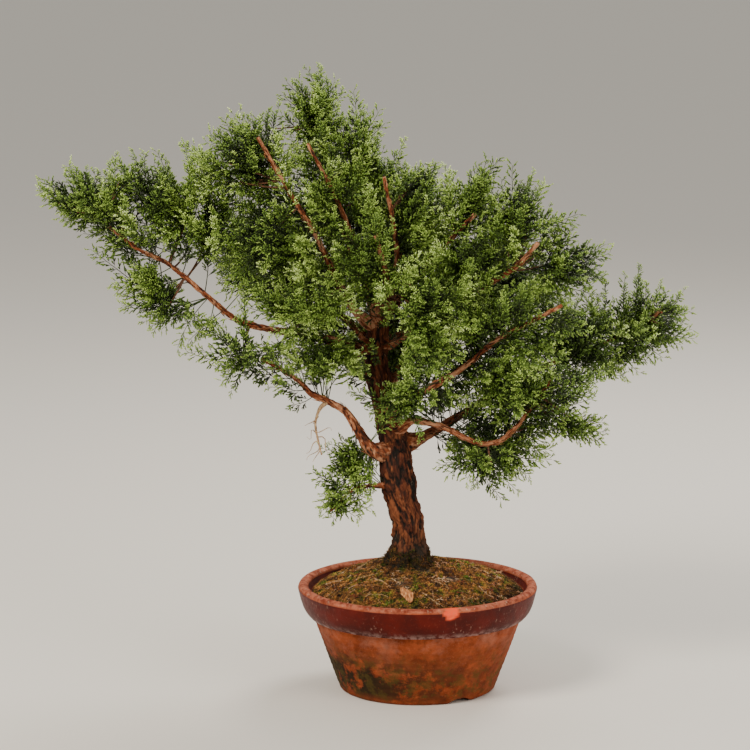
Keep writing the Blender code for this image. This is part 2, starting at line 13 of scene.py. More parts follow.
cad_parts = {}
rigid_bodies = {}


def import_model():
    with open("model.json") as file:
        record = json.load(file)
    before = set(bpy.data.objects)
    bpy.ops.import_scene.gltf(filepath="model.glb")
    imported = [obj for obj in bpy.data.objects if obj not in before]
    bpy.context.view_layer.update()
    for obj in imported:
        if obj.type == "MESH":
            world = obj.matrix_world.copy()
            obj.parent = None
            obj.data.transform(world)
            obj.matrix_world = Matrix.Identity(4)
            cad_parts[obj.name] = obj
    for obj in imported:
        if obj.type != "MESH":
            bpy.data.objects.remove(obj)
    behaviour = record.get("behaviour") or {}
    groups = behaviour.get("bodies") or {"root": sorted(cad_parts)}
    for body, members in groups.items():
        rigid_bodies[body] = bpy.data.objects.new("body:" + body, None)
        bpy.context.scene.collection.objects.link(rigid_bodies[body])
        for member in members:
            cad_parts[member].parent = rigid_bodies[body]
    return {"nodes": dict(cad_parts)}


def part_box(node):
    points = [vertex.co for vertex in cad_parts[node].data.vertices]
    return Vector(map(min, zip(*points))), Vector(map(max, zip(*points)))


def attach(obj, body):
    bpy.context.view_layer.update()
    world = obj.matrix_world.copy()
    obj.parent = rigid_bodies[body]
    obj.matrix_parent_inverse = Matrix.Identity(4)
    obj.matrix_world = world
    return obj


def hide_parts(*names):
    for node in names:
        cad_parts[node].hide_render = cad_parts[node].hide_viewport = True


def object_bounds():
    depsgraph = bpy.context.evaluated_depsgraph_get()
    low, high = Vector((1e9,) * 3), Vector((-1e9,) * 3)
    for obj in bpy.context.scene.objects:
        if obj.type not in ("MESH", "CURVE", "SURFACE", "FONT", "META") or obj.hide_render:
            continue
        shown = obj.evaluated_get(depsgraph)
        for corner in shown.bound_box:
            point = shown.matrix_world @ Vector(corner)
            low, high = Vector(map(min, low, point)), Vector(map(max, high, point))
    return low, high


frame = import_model()
cad_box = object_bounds()

# ---- The pot ------------------------------------------------------------------------------
# A wheel-thrown training pot of coarse red clay, fired once. The band under the lip was dipped
# in a thin iron glaze; the body is bare clay, and years of watering have left lime and algae.
pot_low, pot_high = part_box("pot")
pot_axis = Vector(((pot_low.x + pot_high.x) / 2, (pot_low.y + pot_high.y) / 2, 0))
rim_radius = (pot_high.x - pot_low.x) / 2
rim_z = pot_high.z
foot_radius = 0.0785
band_z = rim_z - 0.032
band_foot_radius = rim_radius - 0.011
body_top_radius = band_foot_radius - 0.004
wall = 0.009
lip_half = 0.00525
pot_floor_z = 0.014
foot_recess = 0.004
drain_radius = 0.018
notch_angles = [math.radians(a) for a in (-58, 62, 182)]
notch_half_width = 0.0125
notch_height = 0.0045
chip_place = Vector((0.0315, -0.1145, rim_z - 0.0035))


def linear(code):
    """Linear colour from an sRGB hex value such as #b5603c."""
    parts = [int(code[i:i + 2], 16) / 255 for i in (1, 3, 5)]
    return [p / 12.92 if p <= 0.04045 else ((p + 0.055) / 1.055) ** 2.4 for p in parts] + [1.0]


def set_inputs(tree, node, inputs):
    """Set a node's inputs, each to a value, a hex colour or another node's output."""
    for key, value in inputs.items():
        if isinstance(value, bpy.types.NodeSocket):
            tree.links.new(value, node.inputs[key])
        elif isinstance(value, str) and value.startswith("#"):
            node.inputs[key].default_value = linear(value)
        else:
            node.inputs[key].default_value = value


def set_ramp(ramp, stops):
    """Fill a colour ramp from (position, hex colour) pairs."""
    while len(ramp.elements) < len(stops):
        ramp.elements.new(0.5)
    for element, (position, colour) in zip(ramp.elements, stops):
        element.position = position
        element.color = linear(colour)


def add(tree, kind, inputs=None, output=0, stops=None, **settings):
    """Add one node with its settings, its inputs and a ramp's stops, and give back one of its outputs."""
    node = tree.nodes.new(kind if kind.startswith(("Node", "Function", "Geometry")) else "ShaderNode" + kind)
    for key, value in settings.items():
        setattr(node, key, value)
    set_inputs(tree, node, inputs or {})
    if stops:
        set_ramp(node.color_ramp, stops)
    return node.outputs[output] if node.outputs else None


def new_material(name):
    """An empty material: itself, its tree, its Principled shader and its Object coordinates."""
    surface = bpy.data.materials.new(name)
    surface.use_nodes = True
    tree = surface.node_tree
    return surface, tree, tree.nodes["Principled BSDF"], add(tree, "TexCoord", output="Object")


def lay(tree, place, under, tone, grain, low, high, share=1.0, zone=None):
    """Lay a tone over a colour where a noise (scale, detail, roughness) passes low to high, within a zone."""
    scale, detail, rough = grain
    speck = add(tree, "TexNoise", {"Vector": place, "Scale": scale, "Detail": detail, "Roughness": rough})
    spots = add(tree, "MapRange", {"Value": speck, "From Min": low, "From Max": high, "To Max": share})
    if zone is not None:
        spots = add(tree, "Math", {0: spots, 1: zone}, operation="MULTIPLY")
    return add(tree, "Mix", {0: spots, 6: under, 7: tone}, 2, data_type="RGBA")


def rings_to_mesh(name, rings, closed_ring=False):
    """A skin over rings of points; the first and the last ring are capped, or joined to each other."""
    count = len(rings[0])
    points = [tuple(p) for ring in rings for p in ring]
    faces = []
    last = len(rings) if closed_ring else len(rings) - 1
    for k in range(last):
        low, high = k * count, ((k + 1) % len(rings)) * count
        faces += [(low + i, low + (i + 1) % count, high + (i + 1) % count, high + i) for i in range(count)]
    if not closed_ring:
        faces += [tuple(range(count - 1, -1, -1)), tuple((len(rings) - 1) * count + i for i in range(count))]
    mesh = bpy.data.meshes.new(name)
    mesh.from_pydata(points, [], faces)
    return mesh


def face_outwards(mesh):
    """Turn every face of a closed mesh outwards."""
    shape = bmesh.new()
    shape.from_mesh(mesh)
    bmesh.ops.recalc_face_normals(shape, faces=shape.faces)
    shape.to_mesh(mesh)
    shape.free()


def point_values(mesh, name, values):
    """Store one number for each point of a mesh."""
    mesh.attributes.new(name, "FLOAT", "POINT").data.foreach_set("value", np.asarray(values, np.float32))


def piece(name, mesh, surfaces, replaced=()):
    """Make a finished piece of the object: it rides on the root and may stand for CAD nodes."""
    made = bpy.data.objects.new(name, mesh)
    bpy.context.scene.collection.objects.link(made)
    mesh.materials.clear()
    for surface in surfaces:
        mesh.materials.append(surface)
    mesh.shade_smooth()
    if replaced:
        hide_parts(*replaced)
    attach(made, "root")
    return made


def fractal(place, size, octaves=3):
    """Smooth noise in about -1 to 1 whose largest lumps are size across."""
    return noise.fractal(Vector(place) / size, 1.0, 2.0, octaves, noise_basis="PERLIN_ORIGINAL")


def soften(profile, rounds):
    """Round off a profile's corners by cutting them, a few times over."""
    for _ in range(rounds):
        cut = []
        for a, b in zip(profile, profile[1:] + profile[:1]):
            cut += [a.lerp(b, 0.25), a.lerp(b, 0.75)]
        profile = cut
    return profile


def between(start, end, count):
    return [start.lerp(end, i / count) for i in range(count)]


def pot_profile():
    """The turned section, from the foot up the outside, over the lip and down the inside."""
    body_foot = Vector((foot_radius, 0.002))
    body_top = Vector((body_top_radius, band_z - 0.0006))
    band_foot = Vector((band_foot_radius, band_z))
    band_top = Vector((rim_radius, rim_z - lip_half))
    inner_top = Vector((rim_radius - 2 * lip_half, rim_z - lip_half))
    inner_neck = Vector((body_top_radius - wall, band_z))
    inner_foot = Vector((foot_radius + 0.003 - wall, pot_floor_z))
    lip = [Vector((rim_radius - lip_half + lip_half * math.cos(a), rim_z - lip_half + lip_half * math.sin(a)))
           for a in [math.pi * i / 10 for i in range(1, 10)]]
    profile = [Vector((foot_radius - 0.002, 0))] + between(body_foot, body_top, 34) + [body_top]
    profile += [Vector((body_top_radius + 0.001, band_z - 0.0004)), band_foot]
    band = between(band_foot + Vector((0.0006, 0.0012)), band_top, 14)
    profile += [p + Vector((0.0024 * math.sin(math.pi * (i / 14) ** 0.6), 0)) for i, p in enumerate(band)]
    profile += [band_top] + lip
    profile += between(inner_top, inner_neck, 6) + between(inner_neck, inner_foot, 8) + [inner_foot]
    profile += [Vector((drain_radius, pot_floor_z)), Vector((drain_radius, foot_recess))]
    profile += [Vector((foot_radius - 0.012, foot_recess)), Vector((foot_radius - 0.012, 0))]
    return soften(profile, 1)


def pot_mesh():
    """Turn the section with a thrown pot's slight wobble, and work in the notches and the chip."""
    sides = 240
    rings, glaze, chips = [], [], []
    for section in pot_profile():
        ring = []
        on_band = section.x > body_top_radius + 0.002 and band_z - 0.001 < section.y < rim_z - 0.0045
        for i in range(sides):
            a = 2 * math.pi * i / sides
            flat = Vector((math.cos(a), math.sin(a), 0))
            place = flat * section.x + Vector((0, 0, section.y))
            lump = 0.0005 * fractal(place, 0.05) + 0.00016 * fractal(place, 0.006)
            ridge = 0.00016 * math.sin(2 * math.pi * section.y / 0.0062 + 2 * fractal(place, 0.08))
            place += flat * (lump + (0 if on_band else ridge))
            for notch in notch_angles:
                off = math.remainder(a - notch, 2 * math.pi) * foot_radius / notch_half_width
                if abs(off) < 1:
                    arch = notch_height * (1 - off ** 4) * (1 + 0.12 * fractal(place, 0.004))
                    place.z = max(place.z, arch if section.x > foot_radius - 0.014 else place.z)
            near = (place - chip_place).length
            depth = max(0.0, 1 - near / 0.0085 + 0.35 * fractal(place, 0.004))
            place += (Vector((0, 0, 0.085)) - place).normalized() * 0.0022 * min(1, 2.2 * depth)
            ring.append(place + pot_axis)
            glaze.append(1.0 if on_band else 0.0)
            chips.append(min(1.0, 3.5 * depth))
        rings.append(ring)
    mesh = rings_to_mesh("pot_shell", rings, closed_ring=True)
    point_values(mesh, "glaze", glaze)
    point_values(mesh, "chip", chips)
    face_outwards(mesh)
    return mesh


def fired_clay():
    """Coarse red clay with lime bloom, algae and a worn lip, under a thin iron glaze on the band."""
    surface, tree, shader, place = new_material("red_clay_and_iron_glaze")
    across, _, height = add(tree, "SeparateXYZ", {0: place}).node.outputs
    glaze, chip = (add(tree, "Attribute", output="Fac", attribute_name=name) for name in ("glaze", "chip"))
    # Bare clay: mottled at 1 to 3 cm from the kiln, speckled with grog at about 1 mm.
    clay = lay(tree, place, "#6c2c13", "#9b4a28", (45, 4, 0.6), 0.35, 0.68)
    clay = lay(tree, place, clay, "#b87453", (900, 2, 0.6), 0.60, 0.72, 0.40)
    clay = lay(tree, place, clay, "#4a1e0c", (160, 5, 0.6), 0.52, 0.70, 0.5)
    # Lime left by hard water, in soft patches that are strongest below the band.
    upper = add(tree, "MapRange", {"Value": height, "From Min": 0.028, "From Max": 0.072})
    clay = lay(tree, place, clay, "#ab7863", (28, 6, 0.7), 0.47, 0.72, 0.60, upper)
    # Algae that creeps up from the foot, thickest on the left side, with some green moss in it.
    lean = add(tree, "MapRange", {"Value": across, "From Min": 0.13, "From Max": 0.0, "To Min": 0.25})
    lower = add(tree, "MapRange", {"Value": height, "From Min": 0.064, "From Max": 0.034})
    off_floor = add(tree, "MapRange", {"Value": height, "From Min": -0.006, "From Max": 0.010})
    lower = add(tree, "Math", {0: lower, 1: off_floor}, operation="MULTIPLY")
    leaning = add(tree, "Math", {0: lower, 1: lean}, operation="MULTIPLY")
    clay = lay(tree, place, clay, "#1f1a0b", (42, 8, 0.72), 0.42, 0.50, 0.96, leaning)
    clay = lay(tree, place, clay, "#4a3d17", (75, 6, 0.7), 0.49, 0.58, 0.6, lower)
    # The glaze: dark oxblood, thin and rubbed in fine upright scratches, paler along its lower edge.
    coat = lay(tree, place, "#3c0600", "#560d02", (36, 5, 0.6), 0.38, 0.66)
    coat = lay(tree, place, coat, "#8a4630", (420, 3, 0.6), 0.60, 0.74, 0.30)
    upright = add(tree, "Mapping", {"Vector": place, "Scale": (1, 1, 0.22)})
    rubbed = add(tree, "TexNoise", {"Vector": place, "Scale": 26, "Detail": 3, "Roughness": 0.6})
    rubbed = add(tree, "MapRange", {"Value": rubbed, "From Min": 0.50, "From Max": 0.62})
    coat = lay(tree, upright, coat, "#b08d7a", (520, 3, 0.5), 0.63, 0.72, 0.55, rubbed)
    edge = add(tree, "MapRange", {"Value": height, "From Min": band_z + 0.007, "From Max": band_z})
    coat = lay(tree, place, coat, "#a3827a", (150, 6, 0.7), 0.46, 0.60, 0.7, edge)
    ragged = add(tree, "TexNoise", {"Vector": place, "Scale": 350, "Detail": 4, "Roughness": 0.6})
    ragged = add(tree, "Math", {0: glaze, 1: ragged}, operation="ADD")
    glazed = add(tree, "MapRange", {"Value": ragged, "From Min": 0.88, "From Max": 1.02})
    colour = add(tree, "Mix", {0: glazed, 6: clay, 7: coat}, 2, data_type="RGBA")
    # The lip: glaze worn back to pale pink clay with grey scuffs. The chip shows clean clay.
    lip = add(tree, "MapRange", {"Value": height, "From Min": rim_z - 0.0048, "From Max": rim_z - 0.0024})
    worn = lay(tree, place, "#a86047", "#6f2d1c", (130, 5, 0.7), 0.42, 0.62)
    worn = lay(tree, place, worn, "#b9a58f", (300, 5, 0.75), 0.56, 0.68, 0.6)
    colour = lay(tree, place, colour, worn, (90, 6, 0.7), 0.28, 0.44, 1.0, lip)
    clean = lay(tree, place, "#ee4f2c", "#d8653f", (500, 3, 0.6), 0.4, 0.7)
    colour = add(tree, "Mix", {0: chip, 6: colour, 7: clean}, 2, data_type="RGBA")

    dull = add(tree, "MapRange", {"Value": glazed, "To Min": 0.88, "To Max": 0.46})
    scuffs, grog, lumps = (add(tree, "TexNoise", {"Vector": place, "Scale": scale, "Detail": detail,
                                                  "Roughness": rough})
                           for scale, detail, rough in ((240, 5, 0.7), (700, 4, 0.6), (180, 4, 0.6)))
    scuffed = add(tree, "Math", {0: scuffs, 1: 0.3, 2: -0.12}, operation="MULTIPLY_ADD")
    relief = add(tree, "Math", {0: grog, 1: lumps}, operation="ADD")
    set_inputs(tree, shader, {
        "Base Color": colour, "IOR": 1.5, "Specular IOR Level": 0.16,
        "Roughness": add(tree, "Math", {0: dull, 1: scuffed}, operation="ADD", use_clamp=True),
        "Normal": add(tree, "Bump", {"Height": relief, "Strength": 0.35, "Distance": 0.0006})})
    return surface


piece("pot_thrown_clay", pot_mesh(), [fired_clay()], ["pot"])

# ---- The drain mesh and its clip ------------------------------------------------------------
# A disc cut from black polyethylene mesh lies over the drain hole. A staple of brown anodised
# aluminium wire holds it, with its feet turned out under the floor.


def mottled(name, grain, stops, roughness, relief=None, stretch=None, metallic=0.0):
    """A material of a few tones by one noise (scale, detail, roughness), which relief may raise."""
    surface, tree, shader, place = new_material(name)
    if stretch:
        place = add(tree, "Mapping", {"Vector": place, "Scale": stretch})
    scale, detail, rough = grain
    tone = add(tree, "TexNoise", {"Vector": place, "Scale": scale, "Detail": detail, "Roughness": rough})
    set_inputs(tree, shader, {"Base Color": add(tree, "ValToRGB", {"Fac": tone}, stops=stops),
                              "Roughness": roughness, "Metallic": metallic})
    if relief:
        strength, distance = relief
        bump = add(tree, "Bump", {"Height": tone, "Strength": strength, "Distance": distance})
        set_inputs(tree, shader, {"Normal": bump})
    return surface


# Moulded polyethylene is dull black, faintly pebbled and dusted with soil. Anodised aluminium wire
# is brown and satin, with drawing lines too fine to see as more than sheen.
polyethylene = mottled("moulded_polyethylene", (400, 4, 0.5), [(0.45, "#15130f"), (0.75, "#4a3a28")], 0.6,
                       relief=(0.3, 0.0002))
wire = mottled("anodised_aluminium_wire", (250, 3, 0.5), [(0.35, "#6a3d24"), (0.7, "#8a5a38")], 0.35,
               metallic=1.0)
for node_name, surface in (("drain_mesh", polyethylene), ("mesh_clip", wire)):
    frame["nodes"][node_name].data.materials.clear()
    frame["nodes"][node_name].data.materials.append(surface)

# ---- The soil -------------------------------------------------------------------------------
# Gritty akadama and pumice, heaped towards the trunk and dark with moisture. It shows only in
# the gaps of the moss and along the rim.
soil_low, soil_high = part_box("soil")
soil_edge_z = rim_z - 0.010
soil_rise = soil_high.z - soil_edge_z
soil_radius = (soil_high.x - soil_low.x) / 2


def ground(x, y):
    """Height of the soil at a place measured from the pot's axis."""
    share = min(1.0, math.hypot(x, y) / soil_radius)
    lumps = 0.0016 * fractal((x, y, 0), 0.022) + 0.0007 * fractal((x, y, 1), 0.006)
    return soil_edge_z + soil_rise * (1 - share ** 2) - 0.0012 + lumps * (1 - share ** 8)


def cover_mesh(name, height_at, floor_z, radius, sides, steps):
    """A closed slab over the pot's round mouth, flat below at floor_z and shaped above by height_at."""
    turns = [2 * math.pi * i / sides for i in range(sides)]
    rings = [[Vector((radius * math.cos(a), radius * math.sin(a), floor_z)) + pot_axis for a in turns]]
    for k in range(steps, 0, -1):
        flat = [(radius * k / steps * math.cos(a), radius * k / steps * math.sin(a)) for a in turns]
        rings.append([Vector((x, y, height_at(x, y))) + pot_axis for x, y in flat])
    mesh = rings_to_mesh(name, rings)
    face_outwards(mesh)
    return mesh


def wet_grit():
    """Fired clay grains and pumice: near black when wet, single grains paler as they dry."""
    surface, tree, shader, place = new_material("moist_akadama")
    joint = add(tree, "TexVoronoi", {"Vector": place, "Scale": 420})
    tone = add(tree, "SeparateColor", {"Color": joint.node.outputs["Color"]})
    stops = [(0.0, "#1d1208"), (0.6, "#3b2814"), (0.88, "#5f452a"), (0.97, "#a48762")]
    bump = add(tree, "Bump", {"Height": joint, "Strength": 0.9, "Distance": 0.0012}, invert=True)
    set_inputs(tree, shader, {"Base Color": add(tree, "ValToRGB", {"Fac": tone}, stops=stops),
                              "Roughness": 0.9, "Normal": bump})
    return surface


soil_mesh = cover_mesh("soil_heap", ground, soil_edge_z - 0.012, soil_radius - 0.0006, 120, 40)
piece("soil_heap", soil_mesh, [wet_grit()], ["soil"])

# ---- The moss -------------------------------------------------------------------------------
# Low cushions of silver and cord moss that have grown together over the soil, olive to gold where
# they dry out. Each tuft is a few leaf blades; thousands of them stand on the cushions.
moss_nodes = ["moss_front_left", "moss_front_right", "moss_back_left", "moss_back_right"]
trunk_gap_place = Vector((-0.009, 0, 0))
moss_tuft_count = 10500


def moss_height(x, y):
    """How far the moss stands above the soil; below zero where the soil is bare."""
    cover = fractal((x, y, 4), 0.030, 4) + 0.42
    edge = (soil_radius - 0.002 - math.hypot(x, y)) / 0.010
    trunk_gap = (math.hypot(x - trunk_gap_place.x, y - trunk_gap_place.y) - 0.015) / 0.006
    lumps = 0.55 + 0.45 * fractal((x, y, 7), 0.010)
    return 0.0042 * max(-0.5, min(1.0, 2.4 * cover, edge, trunk_gap)) * lumps


def stand_on(x, y, above=0.0):
    """A point on the moss, or on the soil where that is higher."""
    return Vector((x, y, ground(x, y) + max(0.0, moss_height(x, y)) + above)) + pot_axis


def moss_tones(tree, place):
    """Olive and gold-brown, mottled at 5 to 20 mm, with fresh green patches and near-black painted shade in
    the gaps.
    """
    broad, gaps = (
        add(tree, "TexNoise", {"Vector": place, "Scale": scale, "Detail": detail, "Roughness": 0.7})
        for scale, detail in ((60, 6), (190, 4)))
    stops = [(0.30, "#33200b"), (0.41, "#6a4318"), (0.48, "#946434"), (0.54, "#6f5a20"), (0.62, "#4f6018")]
    # Painted shade and real algae darken it within 50 mm of the trunk, and painted shade from the rim darkens
    # the last 14 mm.
    flat = add(tree, "Mapping", {"Vector": place, "Location": (-pot_axis.x + 0.009, -pot_axis.y, 0),
                                 "Scale": (1, 1, 0)})
    away = add(tree, "VectorMath", {0: flat}, "Value", operation="LENGTH")
    shade, near, rim_shade = (
        add(tree, "MapRange", {"Value": value, "From Min": start, "From Max": end, "To Min": first,
                               "To Max": last})
        for value, start, end, first, last in (
            (gaps, 0.40, 0.58, 0.12, 1.2), (away, 0.022, 0.050, 0.35, 1.0),
            (away, soil_radius - 0.014, soil_radius - 0.002, 1.0, 0.40)))
    both = add(tree, "Math", {0: near, 1: rim_shade}, operation="MULTIPLY")
    total = add(tree, "Math", {0: shade, 1: both}, operation="MULTIPLY")
    tones = add(tree, "ValToRGB", {"Fac": broad}, stops=stops)
    return add(tree, "HueSaturation", {"Color": tones, "Value": total})


def moss_leaf():
    """Moss: matt, each tuft a little lighter or darker than the next, each blade painted darker at its foot
    as shade in the cushion and lighter at its translucent tip as painted light.
    """
    surface, tree, shader, place = new_material("cushion_moss")
    # Painted light and shade: each blade goes from 0.38 at its foot to 1.5 at its tip.
    light, tip = (
        add(tree, "MapRange", {"Value": add(tree, "Attribute", output="Fac", attribute_name=name),
                               "To Min": least, "To Max": most})
        for name, least, most in (("tint", 0.28, 2.05), ("along", 0.38, 1.5)))
    value = add(tree, "Math", {0: light, 1: tip}, operation="MULTIPLY")
    colour = add(tree, "HueSaturation", {"Color": moss_tones(tree, place), "Value": value})
    set_inputs(tree, shader, {"Base Color": colour, "Roughness": 0.85, "Specular IOR Level": 0.25})
    return surface


def moss_ground():
    """The mat under the tufts: dead leaves and shade between the shoots."""
    surface, tree, shader, place = new_material("moss_mat")
    fine = add(tree, "TexNoise", {"Vector": place, "Scale": 900, "Detail": 4})
    value = add(tree, "MapRange", {"Value": fine, "From Min": 0.3, "From Max": 0.7, "To Min": 0.35,
                                   "To Max": 1.1})
    colour = add(tree, "HueSaturation", {"Color": moss_tones(tree, place), "Value": value})
    bump = add(tree, "Bump", {"Height": fine, "Strength": 1.0, "Distance": 0.001})
    set_inputs(tree, shader, {"Base Color": colour, "Roughness": 0.95, "Normal": bump})
    return surface


def hidden_pattern(name, shapes):
    """A collection of small shapes that are copied by a node tree and then thrown away."""
    group = bpy.data.collections.new(name)
    for i, (points, faces, along) in enumerate(shapes):
        mesh = bpy.data.meshes.new(f"{name}_{i}")
        mesh.from_pydata(points, [], faces)
        face_outwards(mesh)
        point_values(mesh, "along", along)
        group.objects.link(bpy.data.objects.new(f"{name}_{i}", mesh))
    return group


def drop_pattern(group):
    for item in list(group.objects):
        bpy.data.objects.remove(item)
    bpy.data.collections.remove(group)


def blade(shape, start, axis, length, radius, girth_at, low=0, high=1):
    """A three-sided blade pointed at both ends and widest at girth_at, added to (points, faces, along)."""
    points, faces, along = shape
    axis = axis.normalized()
    side = axis.orthogonal().normalized()
    other = axis.cross(side)
    first = len(points)
    points += [start, start + axis * length]
    points += [start + axis * length * girth_at + (side * math.cos(a) + other * math.sin(a)) * radius
               for a in (0, 2 * math.pi / 3, 4 * math.pi / 3)]
    along += [low, high] + [low + (high - low) * girth_at] * 3
    for i in range(3):
        here, after = first + 2 + i, first + 2 + (i + 1) % 3
        faces += [(first, after, here), (first + 1, here, after)]


def moss_tufts():
    """Three tufts of three blades, one unit tall."""
    dice = random.Random(5)
    tufts = []
    for _ in range(3):
        tuft = [], [], []
        for i in range(3):
            turn = 2 * math.pi * (i + dice.random() * 0.6) / 3
            lean = Vector((math.cos(turn) * 0.55, math.sin(turn) * 0.55, 1))
            blade(tuft, Vector((0, 0, -0.2)), lean, dice.uniform(1.0, 1.35), 0.2, 0.45)
        tufts.append(tuft)
    return tufts


def new_tree(name, inputs):
    """An empty geometry tree with named inputs, and what it is given."""
    tree = bpy.data.node_groups.new(name, "GeometryNodeTree")
    for label, kind in (("Geometry", "Geometry"), *inputs, ("Surface", "Material")):
        tree.interface.new_socket(label, in_out="INPUT", socket_type="NodeSocket" + kind)
    tree.interface.new_socket("Geometry", in_out="OUTPUT", socket_type="NodeSocketGeometry")
    return tree, add(tree, "NodeGroupInput").node.outputs


def end_tree(tree, shape, surface):
    """The tree's end: its shape takes its material and goes out."""
    painted = add(tree, "GeometryNodeSetMaterial", {"Geometry": shape, "Material": surface})
    add(tree, "NodeGroupOutput", {0: painted})


def real_copies(tree, spots, shapes, roll, tilt, size, seed, tint=None):
    """Copies of a collection's shapes on points, rolled about their height, then leaned and sized."""
    turned = spots.node.outputs["Rotation"]
    for axis, angle in (((0, 0, 1), roll), ((1, 0, 0), tilt)):
        step = add(tree, "FunctionNodeAxisAngleToRotation", {"Axis": axis, "Angle": angle})
        turned = add(tree, "FunctionNodeRotateRotation", {"Rotation": turned, "Rotate By": step},
                     rotation_space="LOCAL")
    forms = add(tree, "GeometryNodeCollectionInfo", {"Collection": shapes, "Separate Children": True,
                                                     "Reset Children": True})
    pick = add(tree, "FunctionNodeRandomValue", {4: 0, 5: 99, "Seed": seed}, 2, data_type="INT")
    copies = add(tree, "GeometryNodeInstanceOnPoints", {
        "Points": spots, "Instance": forms, "Pick Instance": True, "Instance Index": pick, "Rotation": turned,
        "Scale": size})
    if tint is not None:
        named = {"Name": "tint", "Geometry": copies, "Value": tint}
        copies = add(tree, "GeometryNodeStoreNamedAttribute", named, data_type="FLOAT", domain="INSTANCE")
    return add(tree, "GeometryNodeRealizeInstances", {"Geometry": copies})


def scatter_tree():
    """Copies of small shapes stood on a surface, each turned, leaned and sized at random."""
    tree, given = new_tree("scatter_on_surface", (
        ("Shapes", "Collection"), ("Count per m2", "Float"), ("Size", "Float"), ("Size spread", "Float"),
        ("Lean", "Float"), ("Seed", "Int")))
    seed = given["Seed"]
    wanted = add(tree, "GeometryNodeInputNamedAttribute", {"Name": "wanted"}, data_type="FLOAT")
    density = add(tree, "Math", {0: given["Count per m2"], 1: wanted}, operation="MULTIPLY")
    spots = add(tree, "GeometryNodeDistributePointsOnFaces", {"Mesh": given["Geometry"], "Density": density,
                                                              "Seed": seed})
    least, most = (add(tree, "Math", {0: 1.0, 1: given["Size spread"]}, operation=way)
                   for way in ("SUBTRACT", "ADD"))
    roll, tilt, share, tint = (
        add(tree, "FunctionNodeRandomValue", {2: low, 3: high, "Seed": start}, 1, data_type="FLOAT")
        for low, high, start in ((0.0, 2 * math.pi, seed), (0.0, given["Lean"], seed), (least, most, seed),
                                 (0.0, 1.0, 9)))
    size = add(tree, "Math", {0: share, 1: given["Size"]}, operation="MULTIPLY")
    tufts = real_copies(tree, spots, given["Shapes"], roll, tilt, size, seed, tint)
    end_tree(tree, tufts, given["Surface"])
    return tree


def run_tree(tree, mesh, inputs):
    """Run a node tree on a mesh and give back the plain mesh that it makes."""
    carrier = bpy.data.objects.new("carrier", mesh)
    bpy.context.scene.collection.objects.link(carrier)
    step = carrier.modifiers.new("grow", "NODES")
    step.node_group = tree
    for item in tree.interface.items_tree:
        if item.item_type == "SOCKET" and item.in_out == "INPUT" and item.name in inputs:
            step[item.identifier] = inputs[item.name]
    graph = bpy.context.evaluated_depsgraph_get()
    graph.update()
    made = bpy.data.meshes.new_from_object(carrier.evaluated_get(graph), depsgraph=graph)
    bpy.data.objects.remove(carrier)
    return made


def scattered(under, wanted, shapes, count_per_m2, size, spread, lean, seed, surface):
    """Small shapes scattered over the points of a mesh that are wanted."""
    point_values(under, "wanted", wanted)
    pattern = hidden_pattern("scattered", shapes)
    mesh = run_tree(scatter, under, {
        "Shapes": pattern, "Count per m2": count_per_m2, "Size": size, "Size spread": spread, "Lean": lean,
        "Seed": seed, "Surface": surface})
    drop_pattern(pattern)
    return mesh


moss_surface = moss_leaf()
scatter = scatter_tree()
soil_area = math.pi * soil_radius ** 2
moss_top_from_z = soil_edge_z - 0.004
moss_mesh = cover_mesh("moss_mat", lambda x, y: ground(x, y) + moss_height(x, y),
                       soil_edge_z - 0.010, soil_radius - 0.0014, 200, 64)
mossy = [1.0 if v.co.z > moss_top_from_z and moss_height(v.co.x - pot_axis.x, v.co.y - pot_axis.y) > 0.0004
         else 0.0 for v in moss_mesh.vertices]
piece("moss_mat", moss_mesh, [moss_ground()], moss_nodes)
tufts = scattered(moss_mesh.copy(), mossy, moss_tufts(), moss_tuft_count / soil_area, 0.0021, 0.45, 0.5, 3,
                  moss_surface)
piece("moss_tufts", tufts, [moss_surface])

# ---- What has fallen on the moss --------------------------------------------------------------
# A bleached twig, a flake of bark, dry juniper branchlets and a few grains of pumice and lava
# that have worked up out of the soil. All of it lies loose on the moss.


def tube_rings(line, sides, relief=None):
    """Rings of points round a line of (place, radius); relief(turn, travelled, radius) adds to the radius."""
    places = [place for place, radius in line]
    tangents = [(b - a).normalized() for a, b in zip(places[:1] + places[:-1], places[1:] + places[-1:])]
    side = tangents[0].orthogonal().normalized()
    travelled = 0.0
    rings = []
    for k, ((place, radius), tangent) in enumerate(zip(line, tangents)):
        travelled += (place - places[k - 1]).length if k else 0.0
        side = (side - tangent * side.dot(tangent)).normalized()
        other = tangent.cross(side)
        ring = []
        for i in range(sides):
            turn = 2 * math.pi * i / sides
            reach = radius + (relief(turn, travelled, radius) if relief else 0.0)
            ring.append(place + (side * math.cos(turn) + other * math.sin(turn)) * reach)
        rings.append(ring)
    return rings


def fallen_bits():
    """Dry branchlets and grit: each bit takes one tone from rust, straw, grey or white."""
    surface, tree, shader, place = new_material("dry_leaf_and_grit")
    tint = add(tree, "Attribute", output="Fac", attribute_name="tint")
    stops = [(0.0, "#3d210d"), (0.26, "#7c4a20"), (0.48, "#b07a50"), (0.64, "#7e3518"), (0.80, "#c0906c"),
             (0.95, "#d0b08c")]
    tone = add(tree, "ValToRGB", {"Fac": tint}, stops=stops)
    tone.node.color_ramp.interpolation = "CONSTANT"
    fine = add(tree, "TexNoise", {"Vector": place, "Scale": 1400, "Detail": 3})
    value = add(tree, "MapRange", {"Value": fine, "From Min": 0.3, "From Max": 0.7, "To Min": 0.6,
                                   "To Max": 1.25})
    colour = add(tree, "HueSaturation", {"Color": tone, "Value": value})
    set_inputs(tree, shader, {"Base Color": colour, "Roughness": 0.9})
    return surface


